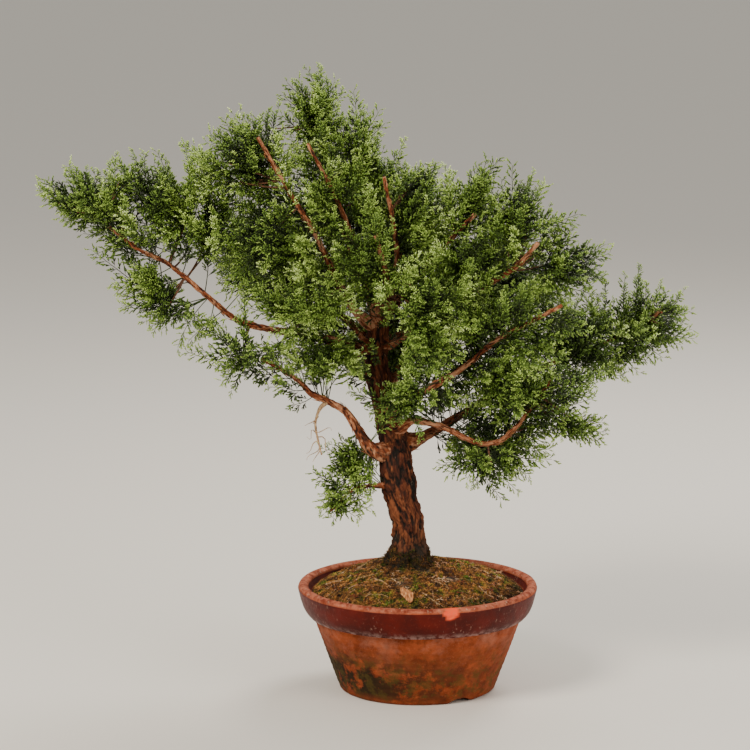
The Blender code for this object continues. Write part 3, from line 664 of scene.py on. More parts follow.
def resting_stick(name, ends, radius, bow):
    """A thin crooked stick lying on the moss between two (x, y) places."""
    start, end = (Vector(e) for e in ends)
    line = []
    for k in range(17):
        t = k / 16
        flat = start.lerp(end, t) + Vector((end - start).orthogonal()) * (bow * math.sin(math.pi * t))
        flat += Vector((0.0006 * fractal((t * 9, 3, bow), 1), 0.0006 * fractal((t * 9, 8, bow), 1)))
        line.append((stand_on(flat.x, flat.y, radius * 0.9), radius * (1.15 - 0.4 * t)))
    rings = tube_rings(line, 8, lambda turn, far, r: r * 0.25 * fractal((turn, far * 400, 2), 1))
    mesh = rings_to_mesh(name, rings)
    face_outwards(mesh)
    return mesh


def bark_flake(name, centre, size, lift, tilt):
    """A curled, pointed flake of shed bark that leans up out of the moss at its far end."""
    ground_place = stand_on(*centre) + Vector((0, 0, lift))
    steps = 14
    rings = []
    for level in (0, 1):
        order = range(1, 6) if level == 0 else range(5, 0, -1)
        for k in order:
            ring = []
            for i in range(steps):
                a = 2 * math.pi * i / steps
                ragged = 1 + 0.22 * fractal((math.cos(a), math.sin(a), 3), 0.7)
                x, y = size[0] * math.cos(a) * ragged * k / 5, size[1] * math.sin(a) * ragged * k / 5
                narrow = x * (1 - 0.5 * abs(y) / size[1]) - 0.35 * y
                curl = 0.35 * size[0] * (x / size[0]) ** 2 + 0.0004 * fractal((x, y, 5), 0.003)
                thick = 0.0011 * (1 - 0.6 * (k / 5) ** 2) * level
                raised = y * math.sin(tilt) + curl + thick
                ring.append(ground_place + Vector((narrow, y * math.cos(tilt), raised)))
            rings.append(ring)
    mesh = rings_to_mesh(name, rings)
    face_outwards(mesh)
    return mesh


def joined(name, parts):
    """One mesh from many closed parts, which are used up."""
    shape = bmesh.new()
    for part in parts:
        shape.from_mesh(part)
        bpy.data.meshes.remove(part)
    bmesh.ops.recalc_face_normals(shape, faces=shape.faces)
    mesh = bpy.data.meshes.new(name)
    shape.to_mesh(mesh)
    shape.free()
    return mesh


# Weathered dead wood is silver-grey to tan, with fine long cracks. The inner side of shed bark is
# cinnamon to straw, in long fibres.
dead_tones = [(0.34, "#5d432c"), (0.52, "#a5845f"), (0.70, "#cbb08a")]
dead_wood = mottled("weathered_twig", (420, 5, 0.7), dead_tones, 0.85, relief=(0.6, 0.0003))
shed_tones = [(0.36, "#6b3a1c"), (0.52, "#b0713f"), (0.68, "#d3a06c")]
shed_bark = mottled("shed_bark", (900, 5, 0.5), shed_tones, 0.85, stretch=(1, 0.2, 0.2))
stick_low, stick_high = (corner - pot_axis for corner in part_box("litter_twig"))
stick_ends = [(stick_low.x + 0.001, stick_high.y - 0.001), (stick_high.x - 0.001, stick_low.y + 0.001)]
piece("litter_twig_dry", resting_stick("litter_twig_dry", stick_ends, 0.0008, 0.06), [dead_wood],
      ["litter_twig"])
chip_low, chip_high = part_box("bark_chip")
chip_middle = (chip_low + chip_high) / 2 - pot_axis
chip_half = (0.006, 0.012)
chip_mesh = bark_flake("bark_flake_shed", (chip_middle.x, chip_middle.y), chip_half, 0.004, 0.5)
piece("bark_flake_shed", chip_mesh, [shed_bark], ["bark_chip"])

# Each fallen twig: its two ends from the pot's axis, its radius and its bow.
fallen = joined("fallen_twigs", [resting_stick("fallen", ends, radius, bow) for *ends, radius, bow in (
    ((-0.078, -0.034), (-0.040, -0.028), 0.0007, 0.08), ((0.004, -0.074), (0.020, -0.090), 0.0008, -0.05),
    ((0.020, -0.090), (0.014, -0.070), 0.0005, 0.1), ((0.012, -0.052), (0.030, -0.066), 0.0006, 0.2),
    ((-0.092, -0.010), (-0.066, -0.016), 0.0009, -0.1), ((0.052, 0.010), (0.086, -0.004), 0.0008, 0.12),
    ((-0.060, 0.024), (-0.030, 0.036), 0.0010, 0.06), ((0.060, -0.046), (0.078, -0.060), 0.0006, -0.2),
    ((-0.052, -0.070), (-0.030, -0.078), 0.0006, 0.15), ((0.030, 0.060), (0.058, 0.046), 0.0008, 0.1),
    ((-0.020, 0.078), (0.012, 0.084), 0.0007, -0.12), ((-0.082, 0.044), (-0.064, 0.020), 0.0008, 0.1))])
piece("fallen_twigs", fallen, [dead_wood])


def grit_grain(dice):
    """A broken grain of stone: a flattened lump whose corners are pushed about."""
    shape = bmesh.new()
    bmesh.ops.create_icosphere(shape, subdivisions=1, radius=0.5)
    for v in shape.verts:
        v.co = Vector((v.co.x * 1.2, v.co.y, v.co.z * 0.75)) * dice.uniform(0.7, 1.15)
    points = [v.co.copy() for v in shape.verts]
    faces = [tuple(v.index for v in f.verts) for f in shape.faces]
    shape.free()
    return points, faces, [1.0] * len(points)


def dry_branchlet(dice):
    """A fallen bit of juniper: a bent cord with a fork, lying on its side."""
    bit = [], [], []
    place = Vector((-1.2, 0, 0.1))
    for k in range(3):
        axis = Vector((1, dice.uniform(-0.4, 0.4), dice.uniform(-0.1, 0.15)))
        blade(bit, place, axis, 1.1, 0.13, 0.5)
        if k:
            blade(bit, place, axis + Vector((0, dice.choice((-1, 1)) * 1.1, 0)), 0.8, 0.12, 0.6)
        place = place + axis.normalized() * 0.9
    return bit


litter_dice = random.Random(11)
bits = fallen_bits()
for name, shapes, count, size, seed, slot in (
        ("grit_grains", [grit_grain(litter_dice) for _ in range(3)], 420, 0.0017, 21, "gritty_soil"),
        ("fallen_branchlets", [dry_branchlet(litter_dice) for _ in range(4)], 1400, 0.0031, 22, "dead_wood")):
    top = [1.0 if v.co.z > moss_top_from_z else 0.0 for v in moss_mesh.vertices]
    mesh = scattered(moss_mesh.copy(), top, shapes, count / soil_area, size, 0.5, 0.35, seed, bits)
    piece(name, mesh, [bits])

# ---- The trunk --------------------------------------------------------------------------------
# An old juniper trunk whose bark has split into long flaking plates, grey-brown outside and rust
# in the cracks, which are painted near-black with shade. It swells into roots that go down through the moss.


def centre_line(node, sides, far_from=None):
    """Centre and radius of each ring of a packed tube, from its highest end or the one far_from a place."""
    shape = bmesh.new()
    shape.from_mesh(frame["nodes"][node].data)
    bmesh.ops.remove_doubles(shape, verts=shape.verts, dist=1e-6)
    shape.faces.ensure_lookup_table()
    best = None
    seen = set()
    for face in shape.faces:
        if face in seen:
            continue
        group, todo = [], [face]
        seen.add(face)
        while todo:
            here = todo.pop()
            group.append(here)
            for edge in here.edges:
                for other in edge.link_faces:
                    if other not in seen and other.normal.dot(face.normal) > 0.99999:
                        seen.add(other)
                        todo.append(other)
        rim = {v for f in group for v in f.verts}
        if len(group) == sides - 2 and len(rim) == sides:
            centre = sum((v.co for v in rim), Vector()) / sides
            key = max(v.co.z for v in rim) if far_from is None else (centre - far_from).length
            if best is None or key > best[0]:
                best = (key, rim)
    line, ring, used = [], best[1], set()
    while len(ring) == sides:
        centre = sum((v.co for v in ring), Vector()) / sides
        line.append((centre, sum((v.co - centre).length for v in ring) / sides))
        used |= ring
        ring = {e.other_vert(v) for v in ring for e in v.link_edges} - used
    shape.free()
    return line


def smooth_line(line, spacing):
    """The line drawn as one smooth curve with a point about every spacing."""
    points = [Vector((*place, radius)) for place, radius in line]
    points = [2 * points[0] - points[1]] + points + [2 * points[-1] - points[-2]]
    drawn = []
    for a, b, c, d in zip(points, points[1:], points[2:], points[3:]):
        count = max(1, round((c - b).length / spacing))
        for k in range(count):
            t = k / count
            drawn.append(0.5 * (2 * b + (c - a) * t + (2 * a - 5 * b + 4 * c - d) * t ** 2
                                + (3 * b - a - 3 * c + d) * t ** 3))
    drawn.append(points[-2])
    return [(p.xyz, max(p.w, 0.0004)) for p in drawn]


trunk_foot_z = soil_high.z
trunk_rings = list(reversed(centre_line("trunk", 12)))
lowest, lowest_radius = trunk_rings[0]
trunk_foot = Vector((pot_axis.x - 0.009, pot_axis.y, trunk_foot_z))
under_ground = [(trunk_foot - Vector((0, 0, 0.020)), 0.0185), (trunk_foot + Vector((0, 0, 0.002)), 0.0182),
                (trunk_foot.lerp(lowest, 0.6), 0.5 * (0.0182 + lowest_radius))]
trunk_line = smooth_line(under_ground + trunk_rings, 0.0013)
root_turns = [math.radians(a) for a in (20, 100, 170, 238, 305)]


def cell_of(place, size):
    """Distance to the nearest crack between cells about size across, and the cell's own number 0 to 1."""
    distances, points = noise.voronoi(Vector(place) / size)
    number = noise.cell(points[0] * 7.3) * 0.5 + 0.5
    return distances[1] - distances[0], number


def bark(name, line, sides, plate, depth, seed, swell=None):
    """A bark-covered tube: plates parted by cracks, with where each point lies and how deep it is."""
    rings = tube_rings(line, sides)
    travelled, straight, crack, plates = 0.0, [], [], []
    for k, (ring, (centre, radius)) in enumerate(zip(rings, line)):
        travelled += (centre - line[k - 1][0]).length if k else 0.0
        twist = 2.2 * travelled / 0.1
        for i, point in enumerate(ring):
            a = 2 * math.pi * i / sides + twist * 0.35
            unrolled = Vector((radius * math.cos(a), radius * math.sin(a), travelled * 0.30 + seed * 0.31))
            bent = unrolled + Vector([0.8 * plate * noise.noise(unrolled / plate * 0.7 + Vector((s, 0, 0)))
                                      for s in (0.0, 7.1, 13.7)])
            gap, number = cell_of(bent, plate)
            edge = min(1.0, gap / 0.30)
            fine_gap, fine_number = cell_of(bent + Vector((0, 0, 5)), plate * 0.40)
            fine_edge = min(1.0, fine_gap / 0.35)
            level = 0.35 * number + 0.40 * edge ** 0.6 + 0.28 * fine_edge + 0.22 * fine_number - 0.65
            level += 0.45 * fractal(unrolled, plate * 0.5, 3)
            lump = 0.13 * radius * fractal((centre.x + math.cos(a) * 0.02, centre.y + math.sin(a) * 0.02,
                                            centre.z), 0.018, 3)
            out = point - centre
            grow = depth * level + lump
            if swell:
                grow += swell(point, radius)
            ring[i] = centre + out * (1 + grow / max(radius, 1e-5))
            straight.append(unrolled)
            # How far into a crack a point lies, which the bark paints near-black as shade.
            crack.append(min(1.0, max(0.0, 0.42 - level)))
            plates.append(0.5 * number + 0.5 * fine_number)
    mesh = rings_to_mesh(name, rings)
    mesh.attributes.new("straight", "FLOAT_VECTOR", "POINT").data.foreach_set(
        "vector", np.array([tuple(s) for s in straight], np.float32).ravel())
    point_values(mesh, "crack", crack)
    point_values(mesh, "plates", plates)
    face_outwards(mesh)
    return mesh


def root_swell(point, radius):
    """How far the foot swells out at a place, where a root leaves it."""
    above = point.z - trunk_foot_z
    if above > 0.030:
        return 0.0
    flat = Vector((point.x - trunk_line[0][0].x, point.y - trunk_line[0][0].y))
    turn = math.atan2(flat.y, flat.x)
    reach = 0.012 * max(0.0, (0.022 - above) / 0.026) ** 1.7
    grow = 0.0
    for root in root_turns:
        off = math.remainder(turn - root, 2 * math.pi)
        grow = max(grow, reach * math.exp(-(off / 0.42) ** 2))
    return min(grow, 0.020)


def juniper_bark(name, ridge, plate_tones, crack_shade_tone, fibre, dark_from):
    """Juniper bark: plates of differing browns with long fibres, and painted shade near-black in the cracks
    where they pass dark_from.
    """
    surface, tree, shader, place = new_material(name)
    straight = add(tree, "Attribute", output="Vector", attribute_name="straight")
    crack, plates = (add(tree, "Attribute", output="Fac", attribute_name=key) for key in ("crack", "plates"))
    # Fibres about 1 mm wide and seven times as long run up the wood.
    along = add(tree, "Mapping", {"Vector": straight, "Scale": (1, 1, 0.45)})
    fibres = add(tree, "TexNoise", {"Vector": along, "Scale": fibre, "Detail": 5, "Roughness": 0.65})
    patches = add(tree, "TexNoise", {"Vector": straight, "Scale": 70, "Detail": 4})
    blend = add(tree, "Math", {0: plates, 1: 0.5, 2: patches}, operation="MULTIPLY_ADD")
    lowered = add(tree, "Math", {0: fibres, 1: 0.7, 2: -0.35}, operation="MULTIPLY_ADD")
    tone = add(tree, "Math", {0: blend, 1: lowered}, operation="ADD")
    colour = add(tree, "ValToRGB", {"Fac": tone}, stops=plate_tones)
    # Painted shade: the cracks between plates go near-black.
    deep = add(tree, "MapRange", {"Value": crack, "From Min": dark_from, "From Max": dark_from + 0.44})
    colour = add(tree, "Mix", {0: deep, 6: colour, 7: crack_shade_tone}, 2, data_type="RGBA")
    # Crusts of grey lichen, 1 to 2 mm across, on a few plates.
    colour = lay(tree, straight, colour, "#8d7660", (330, 4, 0.7), 0.64, 0.72, 0.55)
    # The lowest 25 mm of wood stay wet and go green-black with algae, in ragged patches.
    height = add(tree, "SeparateXYZ", {0: place}, "Z")
    ragged = add(tree, "Math", {0: patches, 1: -0.06, 2: height}, operation="MULTIPLY_ADD")
    wet = add(tree, "MapRange", {"Value": ragged, "From Min": trunk_foot_z + 0.004,
                                 "From Max": trunk_foot_z - 0.022, "To Max": 0.9})
    colour = add(tree, "Mix", {0: wet, 6: colour, 7: "#17160a"}, 2, data_type="RGBA")
    bump = add(tree, "Bump", {"Height": fibres, "Strength": 0.8, "Distance": ridge})
    set_inputs(tree, shader, {"Base Color": colour, "Roughness": 0.88, "Specular IOR Level": 0.3,
                              "Normal": bump})
    return surface


trunk_tones = [(0.36, "#120905"), (0.53, "#2b1308"), (0.71, "#4c210e"), (0.95, "#7d4628")]
# 0d0703 is the painted shade in the trunk's cracks.
trunk_bark = juniper_bark("juniper_trunk_bark", 0.0012, trunk_tones, "#0d0703", 700, 0.22)
trunk_mesh = bark("trunk_barked", trunk_line, 104, 0.0056, 0.0034, 1, root_swell)
piece("trunk_barked", trunk_mesh, [trunk_bark], ["trunk"])

# Moss has climbed the lowest 12 to 20 mm of the wood.
climbed = [1.0 if v.co.z < trunk_foot_z + 0.012 + 0.012 * fractal(v.co, 0.012, 2) else 0.0
           for v in trunk_mesh.vertices]
climbing = scattered(trunk_mesh.copy(), climbed, moss_tufts(), 300000, 0.0019, 0.45, 0.7, 6, moss_surface)
piece("moss_on_trunk", climbing, [moss_surface])

# ---- The limbs --------------------------------------------------------------------------------
# Cinnamon limbs that peel in thin strips. Each grows out of older wood with a swollen collar.
# Some carry on into foliage, and others were sawn off and left pale at the end.
limb_names = sorted(name for name in frame["nodes"] if name.startswith("limb_"))
sawn_limbs = ("limb_left_low", "limb_crest_left", "limb_crest_mid", "limb_front_stub", "limb_centre",
              "limb_right_high", "limb_right_upper", "limb_right_mid")
trunk_top = trunk_line[-1][0]
limb_tones = [(0.36, "#2c1209"), (0.54, "#57260f"), (0.72, "#80401f"), (0.92, "#b98462")]
# 1a0a04 is the painted shade in the limbs' cracks.
limb_bark = juniper_bark("juniper_limb_bark", 0.0008, limb_tones, "#1a0a04", 900, 0.36)
# A sawn face gone dry is pale heartwood with a darker grain.
sawn = mottled("sawn_juniper", (500, 4, 0.7), [(0.35, "#8e6641"), (0.55, "#b99a6c"), (0.72, "#d8c394")], 0.8)
limb_lines = {}


def rooted(line, parent):
    """A tube's line turned to start in its parent's heart, and swollen where it leaves it."""
    line = list(reversed(line))
    (first, radius), (second, _) = line[0], line[1]
    behind = first + (first - second).normalized() * radius
    heart, girth = min(parent, key=lambda item: (item[0] - behind).length + max(0.0, item[0].z - behind.z))
    line = smooth_line([(heart, radius), (heart.lerp(first, 0.5), radius)] + line, 0.0018)
    grown = []
    for place, own in line:
        outside = max(0.0, (place - heart).length - girth)
        grown.append((place, own * (0.80 + 0.54 * math.exp(-(outside / 0.012) ** 2))))
    return grown


for k, name in enumerate(limb_names):
    line = rooted(centre_line(name, 8, trunk_top), trunk_line)
    limb_lines[name] = line
    thick = max(radius for place, radius in line)
    mesh = bark(name + "_barked", line, 26 if thick > 0.006 else 18, 0.0034, 0.0010, 2 + k)
    surfaces = [limb_bark]
    if name in sawn_limbs:
        surfaces.append(sawn)
        end = line[-1][0]
        cut = max(mesh.polygons, key=lambda f: -(f.center - end).length + (1 if len(f.vertices) > 4 else 0))
        cut.material_index = 1
    piece(name + "_barked", mesh, surfaces, [name])


def sideways(dice, ahead):
    """A random direction square to the way ahead."""
    spin = Vector([dice.gauss(0, 1) for _ in range(3)])
    return (spin - ahead * spin.dot(ahead)).normalized()


# Strips of bark that have worked loose, 5 to 13 mm long, stand off the limbs by one end.
loose_dice = random.Random(9)
strips = [], [], []
for name in limb_names:
    line = limb_lines[name]
    for _ in range(len(line) // 2):
        k = loose_dice.randrange(4, len(line) - 3)
        place, radius = line[k]
        ahead = (line[k + 1][0] - place).normalized()
        out = sideways(loose_dice, ahead)
        way = ahead * loose_dice.choice((-1, 1)) + out * loose_dice.uniform(-0.02, 0.24)
        blade(strips, place + out * radius * 1.03, way, loose_dice.uniform(0.005, 0.013), 0.00055, 0.3)
strip_mesh = bpy.data.meshes.new("loose_bark_strips")
strip_mesh.from_pydata(strips[0], [], strips[1])
face_outwards(strip_mesh)
piece("loose_bark_strips", strip_mesh, [shed_bark])

# ---- The side twigs and the dead twig -----------------------------------------------------------
# A live twig low on the trunk that carries one small tuft, and a dead twig that hangs broken from
# the low left limb, grey and without bark.
limb_lines["twig_trunk_left"] = rooted(centre_line("twig_trunk_left", 6, trunk_top), trunk_line)
live_twig = bark("twig_trunk_left_barked", limb_lines["twig_trunk_left"], 14, 0.003, 0.0004, 31)
piece("twig_trunk_left_barked", live_twig, [limb_bark], ["twig_trunk_left"])
dead_line = rooted(centre_line("dead_twig", 6, trunk_top), limb_lines["limb_left_low"])
piece("dead_twig_bare", bark("dead_twig_bare", dead_line, 12, 0.002, 0.0003, 32), [dead_wood],
      ["dead_twig"])
snags = []
snag_dice = random.Random(12)
for k in range(9):
    place, radius = dead_line[int(len(dead_line) * (0.35 + 0.07 * k))]
    way = Vector([snag_dice.uniform(*reach) for reach in ((-1, 1), (-0.6, 0.6), (-0.9, 0.1))]).normalized()
    crook = way.orthogonal() * snag_dice.uniform(-0.004, 0.004)
    reach = snag_dice.uniform(0.010, 0.022)
    snag = [(place + way * reach * t / 6 + crook * math.sin(t), 0.0006 * (1.1 - t / 7)) for t in range(7)]
    snags.append(rings_to_mesh("snag", tube_rings(snag, 6)))
piece("dead_snags", joined("dead_snags", snags), [dead_wood])

# ---- The foliage ------------------------------------------------------------------------------
# Scale-leaved juniper sprays. Woody side twigs leave the limbs inside each mass, sprays stand on
# the twigs, and each spray carries two rows of forked cords that end in pale new growth.
foliage_names = sorted(name for name in frame["nodes"] if name.startswith("foliage_"))
wood_points = [point for name, line in limb_lines.items()
               for point in line[4:round(len(line) * (0.8 if name in sawn_limbs else 1.0))]]


def mass_of(node):
    """A foliage mass's merged surface: its tree of faces, face list, volume and centre."""
    shape = bmesh.new()
    shape.from_mesh(frame["nodes"][node].data)
    bmesh.ops.remove_doubles(shape, verts=shape.verts, dist=1e-6)
    bmesh.ops.triangulate(shape, faces=shape.faces)
    surface = BVHTree.FromBMesh(shape)
    faces = [([v.co.copy() for v in f.verts], f.normal.copy(), f.calc_area()) for f in shape.faces]
    volume = shape.calc_volume()
    total = sum(area for _, _, area in faces)
    centre = sum((sum(corners, Vector()) / 3 * area for corners, _, area in faces), Vector()) / total
    shape.free()
    return surface, faces, abs(volume), centre


def on_surface(faces, dice):
    """A random place on the mass's surface, with the way out from it."""
    corners, normal, _ = dice.choices(faces, weights=[area for _, _, area in faces])[0]
    a, b = sorted((dice.random(), dice.random()))
    return corners[0] * a + corners[1] * (b - a) + corners[2] * (1 - b), normal


def bent_line(start, end, rise, count):
    """A line from start to end that sags first and turns up at its end by rise."""
    drawn = []
    for k in range(count + 1):
        t = k / count
        drawn.append(start.lerp(end, t) + Vector((0, 0, rise * (t ** 2 - t))))
    return drawn


def spray_line(start, place, aim, count=7):
    """A spray's curved line: it leaves the start and comes to its place along aim."""
    way = place - start
    control = start + way * 0.5 + (way.normalized() - aim).normalized() * way.length * 0.14
    tip = place + aim * 0.003
    shares = [k / count for k in range(count + 1)]
    return [start * (1 - t) ** 2 + control * 2 * t * (1 - t) + tip * t ** 2 for t in shares]


def depths_in(surface, line):
    """How deep each point lies in a mass, 0 at its surface and 1 from 35 mm inwards, for the leaves' painted
    shade.
    """
    shade_depths = []
    for point in line:
        hit = surface.find_nearest(point)
        shade_depths.append(min(1.0, hit[3] / 0.035) if (point - hit[0]).dot(hit[1]) < 0 else 0.0)
    return shade_depths


# From the front the crown is looked down on by 9.6 degrees: a place 1 m nearer shows 169 mm lower.
front_slope = 0.169
wood_clearance = 0.0085
furthest_reach = 0.085


def seen_stretches():
    """Places along the limbs that show between the sprays, as (across, height seen, depth) rows."""
    rows = []
    for name, (start, end) in {
            "limb_crest_left": (0.42, 1), "limb_crest_mid": (0.52, 1), "limb_centre": (0.45, 1),
            "limb_right_high": (0.72, 1), "limb_left_long": (0.32, 0.92), "limb_left_low": (0.1, 1),
            "limb_front_stub": (0.75, 1), "limb_right_mid": (0.35, 1), "limb_right_upper": (0.7, 1),
            "limb_right_low": (0.15, 0.95)}.items():
        line = limb_lines[name]
        seen = line[int(len(line) * start):int(len(line) * end):2]
        rows += [(p.x, p.z + front_slope * p.y, p.y) for p, _ in seen]
    return np.array(rows)


def hides_wood(line):
    """Whether a spray crosses in front of a stretch of limb that shows."""
    here = np.array([(p.x, p.z + front_slope * p.y, p.y) for p in line[2:]])
    across = here[:, None, :] - seen_wood[None, :, :]
    close = np.hypot(across[..., 0], across[..., 1]) < wood_clearance
    return bool((close & (across[..., 2] < 0.003)).any())


def outside_crown(tip):
    """Whether a spray's tip would reach past the crown's own width or depth."""
    return not (cad_box[0][0] < tip.x < cad_box[1][0] and cad_box[0][1] < tip.y < cad_box[1][1])


def grow_mass(node, dice):
    """Side twigs and spray lines of one mass, whose sprays also close the gap to the next mass."""
    surface, faces, volume, centre = masses[node]
    others = [item for name, item in masses.items() if name != node and (item[3] - centre).length < 0.2]
    near = sorted(wood_points, key=lambda item: (item[0] - centre).length)[:150:8]
    targets = []
    full = spray_share * (0.72 if node in thin_masses else 1.0)
    for _ in range(int((volume * 1e6) ** 0.62 * full)):
        place, out = on_surface(faces, dice)
        away = (place - centre).normalized()
        gap = min((item[0].find_nearest(place + away * 0.03)[3] for item in others), default=1.0)
        if dice.random() < 0.18:
            place = centre.lerp(place, dice.uniform(0.45, 0.85))
        else:
            close = gap < (0.015 if away.z > 0.2 else 0.030)
            place = place + away * (dice.uniform(0.0, 0.024) if close else dice.uniform(-0.012, 0.001))
        targets.append((place, out))
    twig_count = max(4, min(14, len(targets) // 6))
    twigs = []
    for i in range(twig_count):
        place = targets[i * len(targets) // twig_count][0]
        origin = min((item[0] for item in near), key=lambda p: (p - place).length)
        twig = bent_line(origin, origin.lerp(place, 0.62), dice.uniform(-0.006, 0.016), 7)
        if not hides_wood(twig):
            twigs.append(twig)
    knots = [knot for twig in twigs for knot in twig[2:]] + [item[0] for item in near]
    lines = []
    for place, out in targets:
        aim = (0.45 * out + 0.45 * (place - centre).normalized() + 0.6 * (place - crown_heart).normalized()
               + Vector((0, 0, 0.35)) + Vector([dice.uniform(-0.35, 0.35) for _ in range(3)])).normalized()
        wished = place - aim * dice.uniform(0.038, 0.068)
        start = min(knots, key=lambda p: (p - wished).length)
        if (place - start).length > furthest_reach:
            start = place + (start - place).normalized() * furthest_reach
        line = spray_line(start, place, aim)
        if hides_wood(line) and dice.random() < 0.78 or outside_crown(line[-1]):
            continue
        lines.append((line, depths_in(surface, line), dice.random()))
    return twigs, lines


def limb_shoots(dice):
    """Short shoots that stand straight on the limbs and on the top of the trunk, by nearest mass."""
    shoots = {name: [] for name in foliage_names}
    stems = {name: line for name, line in limb_lines.items() if name.startswith("limb_")}
    stems["trunk"] = [(p, r) for p, r in trunk_line if p.z > 0.275]
    for name, line in stems.items():
        bare = {"limb_left_long": 0.62, "limb_left_low": 0.55, "limb_right_low": 0.35, "trunk": 0.0}
        first = int(len(line) * bare.get(name, 0.14))
        right = name in ("limb_right_long", "limb_right_low", "limb_right_mid")
        step = 5 if name == "trunk" else 1 if right else 2
        for k in range(first, len(line) - 2, step):
            place, radius = line[k]
            ahead = (line[k + 1][0] - place).normalized()
            out = sideways(dice, ahead)
            aim = out + 0.5 * ahead + Vector((0, 0, 0.25)) + Vector((0, -0.7 if name == "trunk" else 0, 0))
            tip = place + aim.normalized() * dice.uniform(0.030, 0.062)
            host = min(foliage_names, key=lambda mass: masses[mass][0].find_nearest(tip)[3])
            hit = masses[host][0].find_nearest(tip)
            inside = (tip - hit[0]).dot(hit[1]) < 0
            line_up = spray_line(place, tip, (aim.normalized() + Vector((0, 0, 0.6))).normalized(), 5)
            furthest = 0.012 if tip.z > 0.42 else 0.046 if right else 0.030
            if hit[3] < furthest and not (inside or hides_wood(line_up) or outside_crown(tip)):
                # Painted shade for a shoot: darkest at its foot, fading towards its tip.
                shoots[host].append((line_up, [0.75, 0.65, 0.5, 0.35, 0.2, 0.1], dice.random()))
    return shoots


def spray_forms(dice):
    """Five forms of branchlet, one unit long: a cord with four or five short blunt forks."""
    forms = []
    for forks in (4, 5, 4, 5, 4):
        form = [], [], []
        bend = Vector((dice.uniform(-0.12, 0.12), 0, 1)).normalized()
        blade(form, Vector(), bend, 1.0, 0.056, 0.68, 0.1)
        for i in range(forks):
            t = 0.18 + 0.66 * i / forks
            side = 1 if i % 2 else -1
            lean = Vector((side * dice.uniform(0.55, 0.9), dice.uniform(-0.35, 0.35), 1))
            length = dice.uniform(0.36, 0.52) * (1.12 - 0.4 * t)
            blade(form, bend * t, lean, length, 0.064, 0.74, 0.2 + 0.4 * t)
        forms.append(form)
    return forms


def spray_tree():
    """Two rows of branchlets along each line, smaller towards its tip, on a thin woody axis."""
    tree, given = new_tree("sprays_along_lines", (
        ("Forms", "Collection"), ("Spacing", "Float"), ("Length", "Float"), ("Tilt", "Float"),
        ("Bare", "Float"), ("Axis radius", "Float")))
    curves = add(tree, "GeometryNodeMeshToCurve", {"Mesh": given["Geometry"]})
    share = add(tree, "GeometryNodeSplineParameter", output="Factor")
    named = {"Name": "share", "Geometry": curves, "Value": share}
    marked = add(tree, "GeometryNodeStoreNamedAttribute", named, data_type="FLOAT", domain="POINT")
    leafy = add(tree, "GeometryNodeTrimCurve", {"Curve": marked, "Start": given["Bare"], "End": 1.0},
                mode="FACTOR")
    spots = add(tree, "GeometryNodeCurveToPoints", {"Curve": leafy, "Length": given["Spacing"]},
                mode="LENGTH")
    here = add(tree, "GeometryNodeInputNamedAttribute", {"Name": "share"}, data_type="FLOAT")
    # Branchlets leave on one side and the other in turn, each rolled, leaned and sized by chance.
    half = add(tree, "Math", {0: add(tree, "GeometryNodeInputIndex"), 1: math.pi}, operation="MULTIPLY")
    any_roll, any_tilt, any_size = (
        add(tree, "FunctionNodeRandomValue", {2: low, 3: high, "Seed": seed}, 1, data_type="FLOAT")
        for low, high, seed in ((-0.75, 0.75, 1), (-0.2, 0.2, 2), (0.7, 1.25, 3)))
    roll, tilt = (add(tree, "Math", {0: usual, 1: extra}, operation="ADD")
                  for usual, extra in ((half, any_roll), (given["Tilt"], any_tilt)))
    size = add(tree, "MapRange", {"Value": here, "To Min": 1.15, "To Max": 0.55})
    for factor in (any_size, given["Length"]):
        size = add(tree, "Math", {0: size, 1: factor}, operation="MULTIPLY")
    leaves = real_copies(tree, spots, given["Forms"], roll, tilt, size, 4)
    ring = add(tree, "GeometryNodeCurvePrimitiveCircle", {"Resolution": 3, "Radius": given["Axis radius"]})
    thin = add(tree, "MapRange", {"Value": share, "To Min": 1.0, "To Max": 0.45})
    axis = add(tree, "GeometryNodeCurveToMesh", {"Curve": marked, "Profile Curve": ring, "Scale": thin,
                                                 "Fill Caps": True})
    both = add(tree, "GeometryNodeJoinGeometry", {0: axis})
    tree.links.new(leaves, both.node.inputs[0])
    end_tree(tree, both, given["Surface"])
    return tree


def scale_leaf():
    """Juniper scale leaf: waxy blue-free green, painted darker with shade inside the mass, yellow-green at
    new tips.
    """
    surface, tree, shader, place = new_material("juniper_scale_leaf")
    along, depth, tint, share = (add(tree, "Attribute", output="Fac", attribute_name=name)
                                 for name in ("along", "depth", "tint", "share"))
    broad = add(tree, "TexNoise", {"Vector": place, "Scale": 22, "Detail": 3})
    scales = add(tree, "TexVoronoi", {"Vector": place, "Scale": 1100})
    tip = add(tree, "MapRange", {"Value": along, "From Min": 0.55, "From Max": 0.95})
    # How young a leaf looks, by its place in the crown, on its spray and on its cord, and painted shade that
    # darkens it deeper in its mass.
    youth_and_shade = -0.27
    for value, weight in ((broad, 0.5), (depth, -0.60), (tint, 0.30), (share, 0.36), (along, 0.14),
                          (tip, 0.32), (scales, -0.12)):
        youth_and_shade = add(tree, "Math", {0: value, 1: weight, 2: youth_and_shade}, operation="MULTIPLY_ADD")
    stops = [(0.02, "#1c2808"), (0.22, "#3a5012"), (0.42, "#5c7a26"), (0.60, "#84a040"), (0.78, "#acc862"),
             (0.97, "#dcefa8")]
    set_inputs(tree, shader, {"Base Color": add(tree, "ValToRGB", {"Fac": youth_and_shade}, stops=stops),
                              "Roughness": 0.55, "Specular IOR Level": 0.35})
    return surface


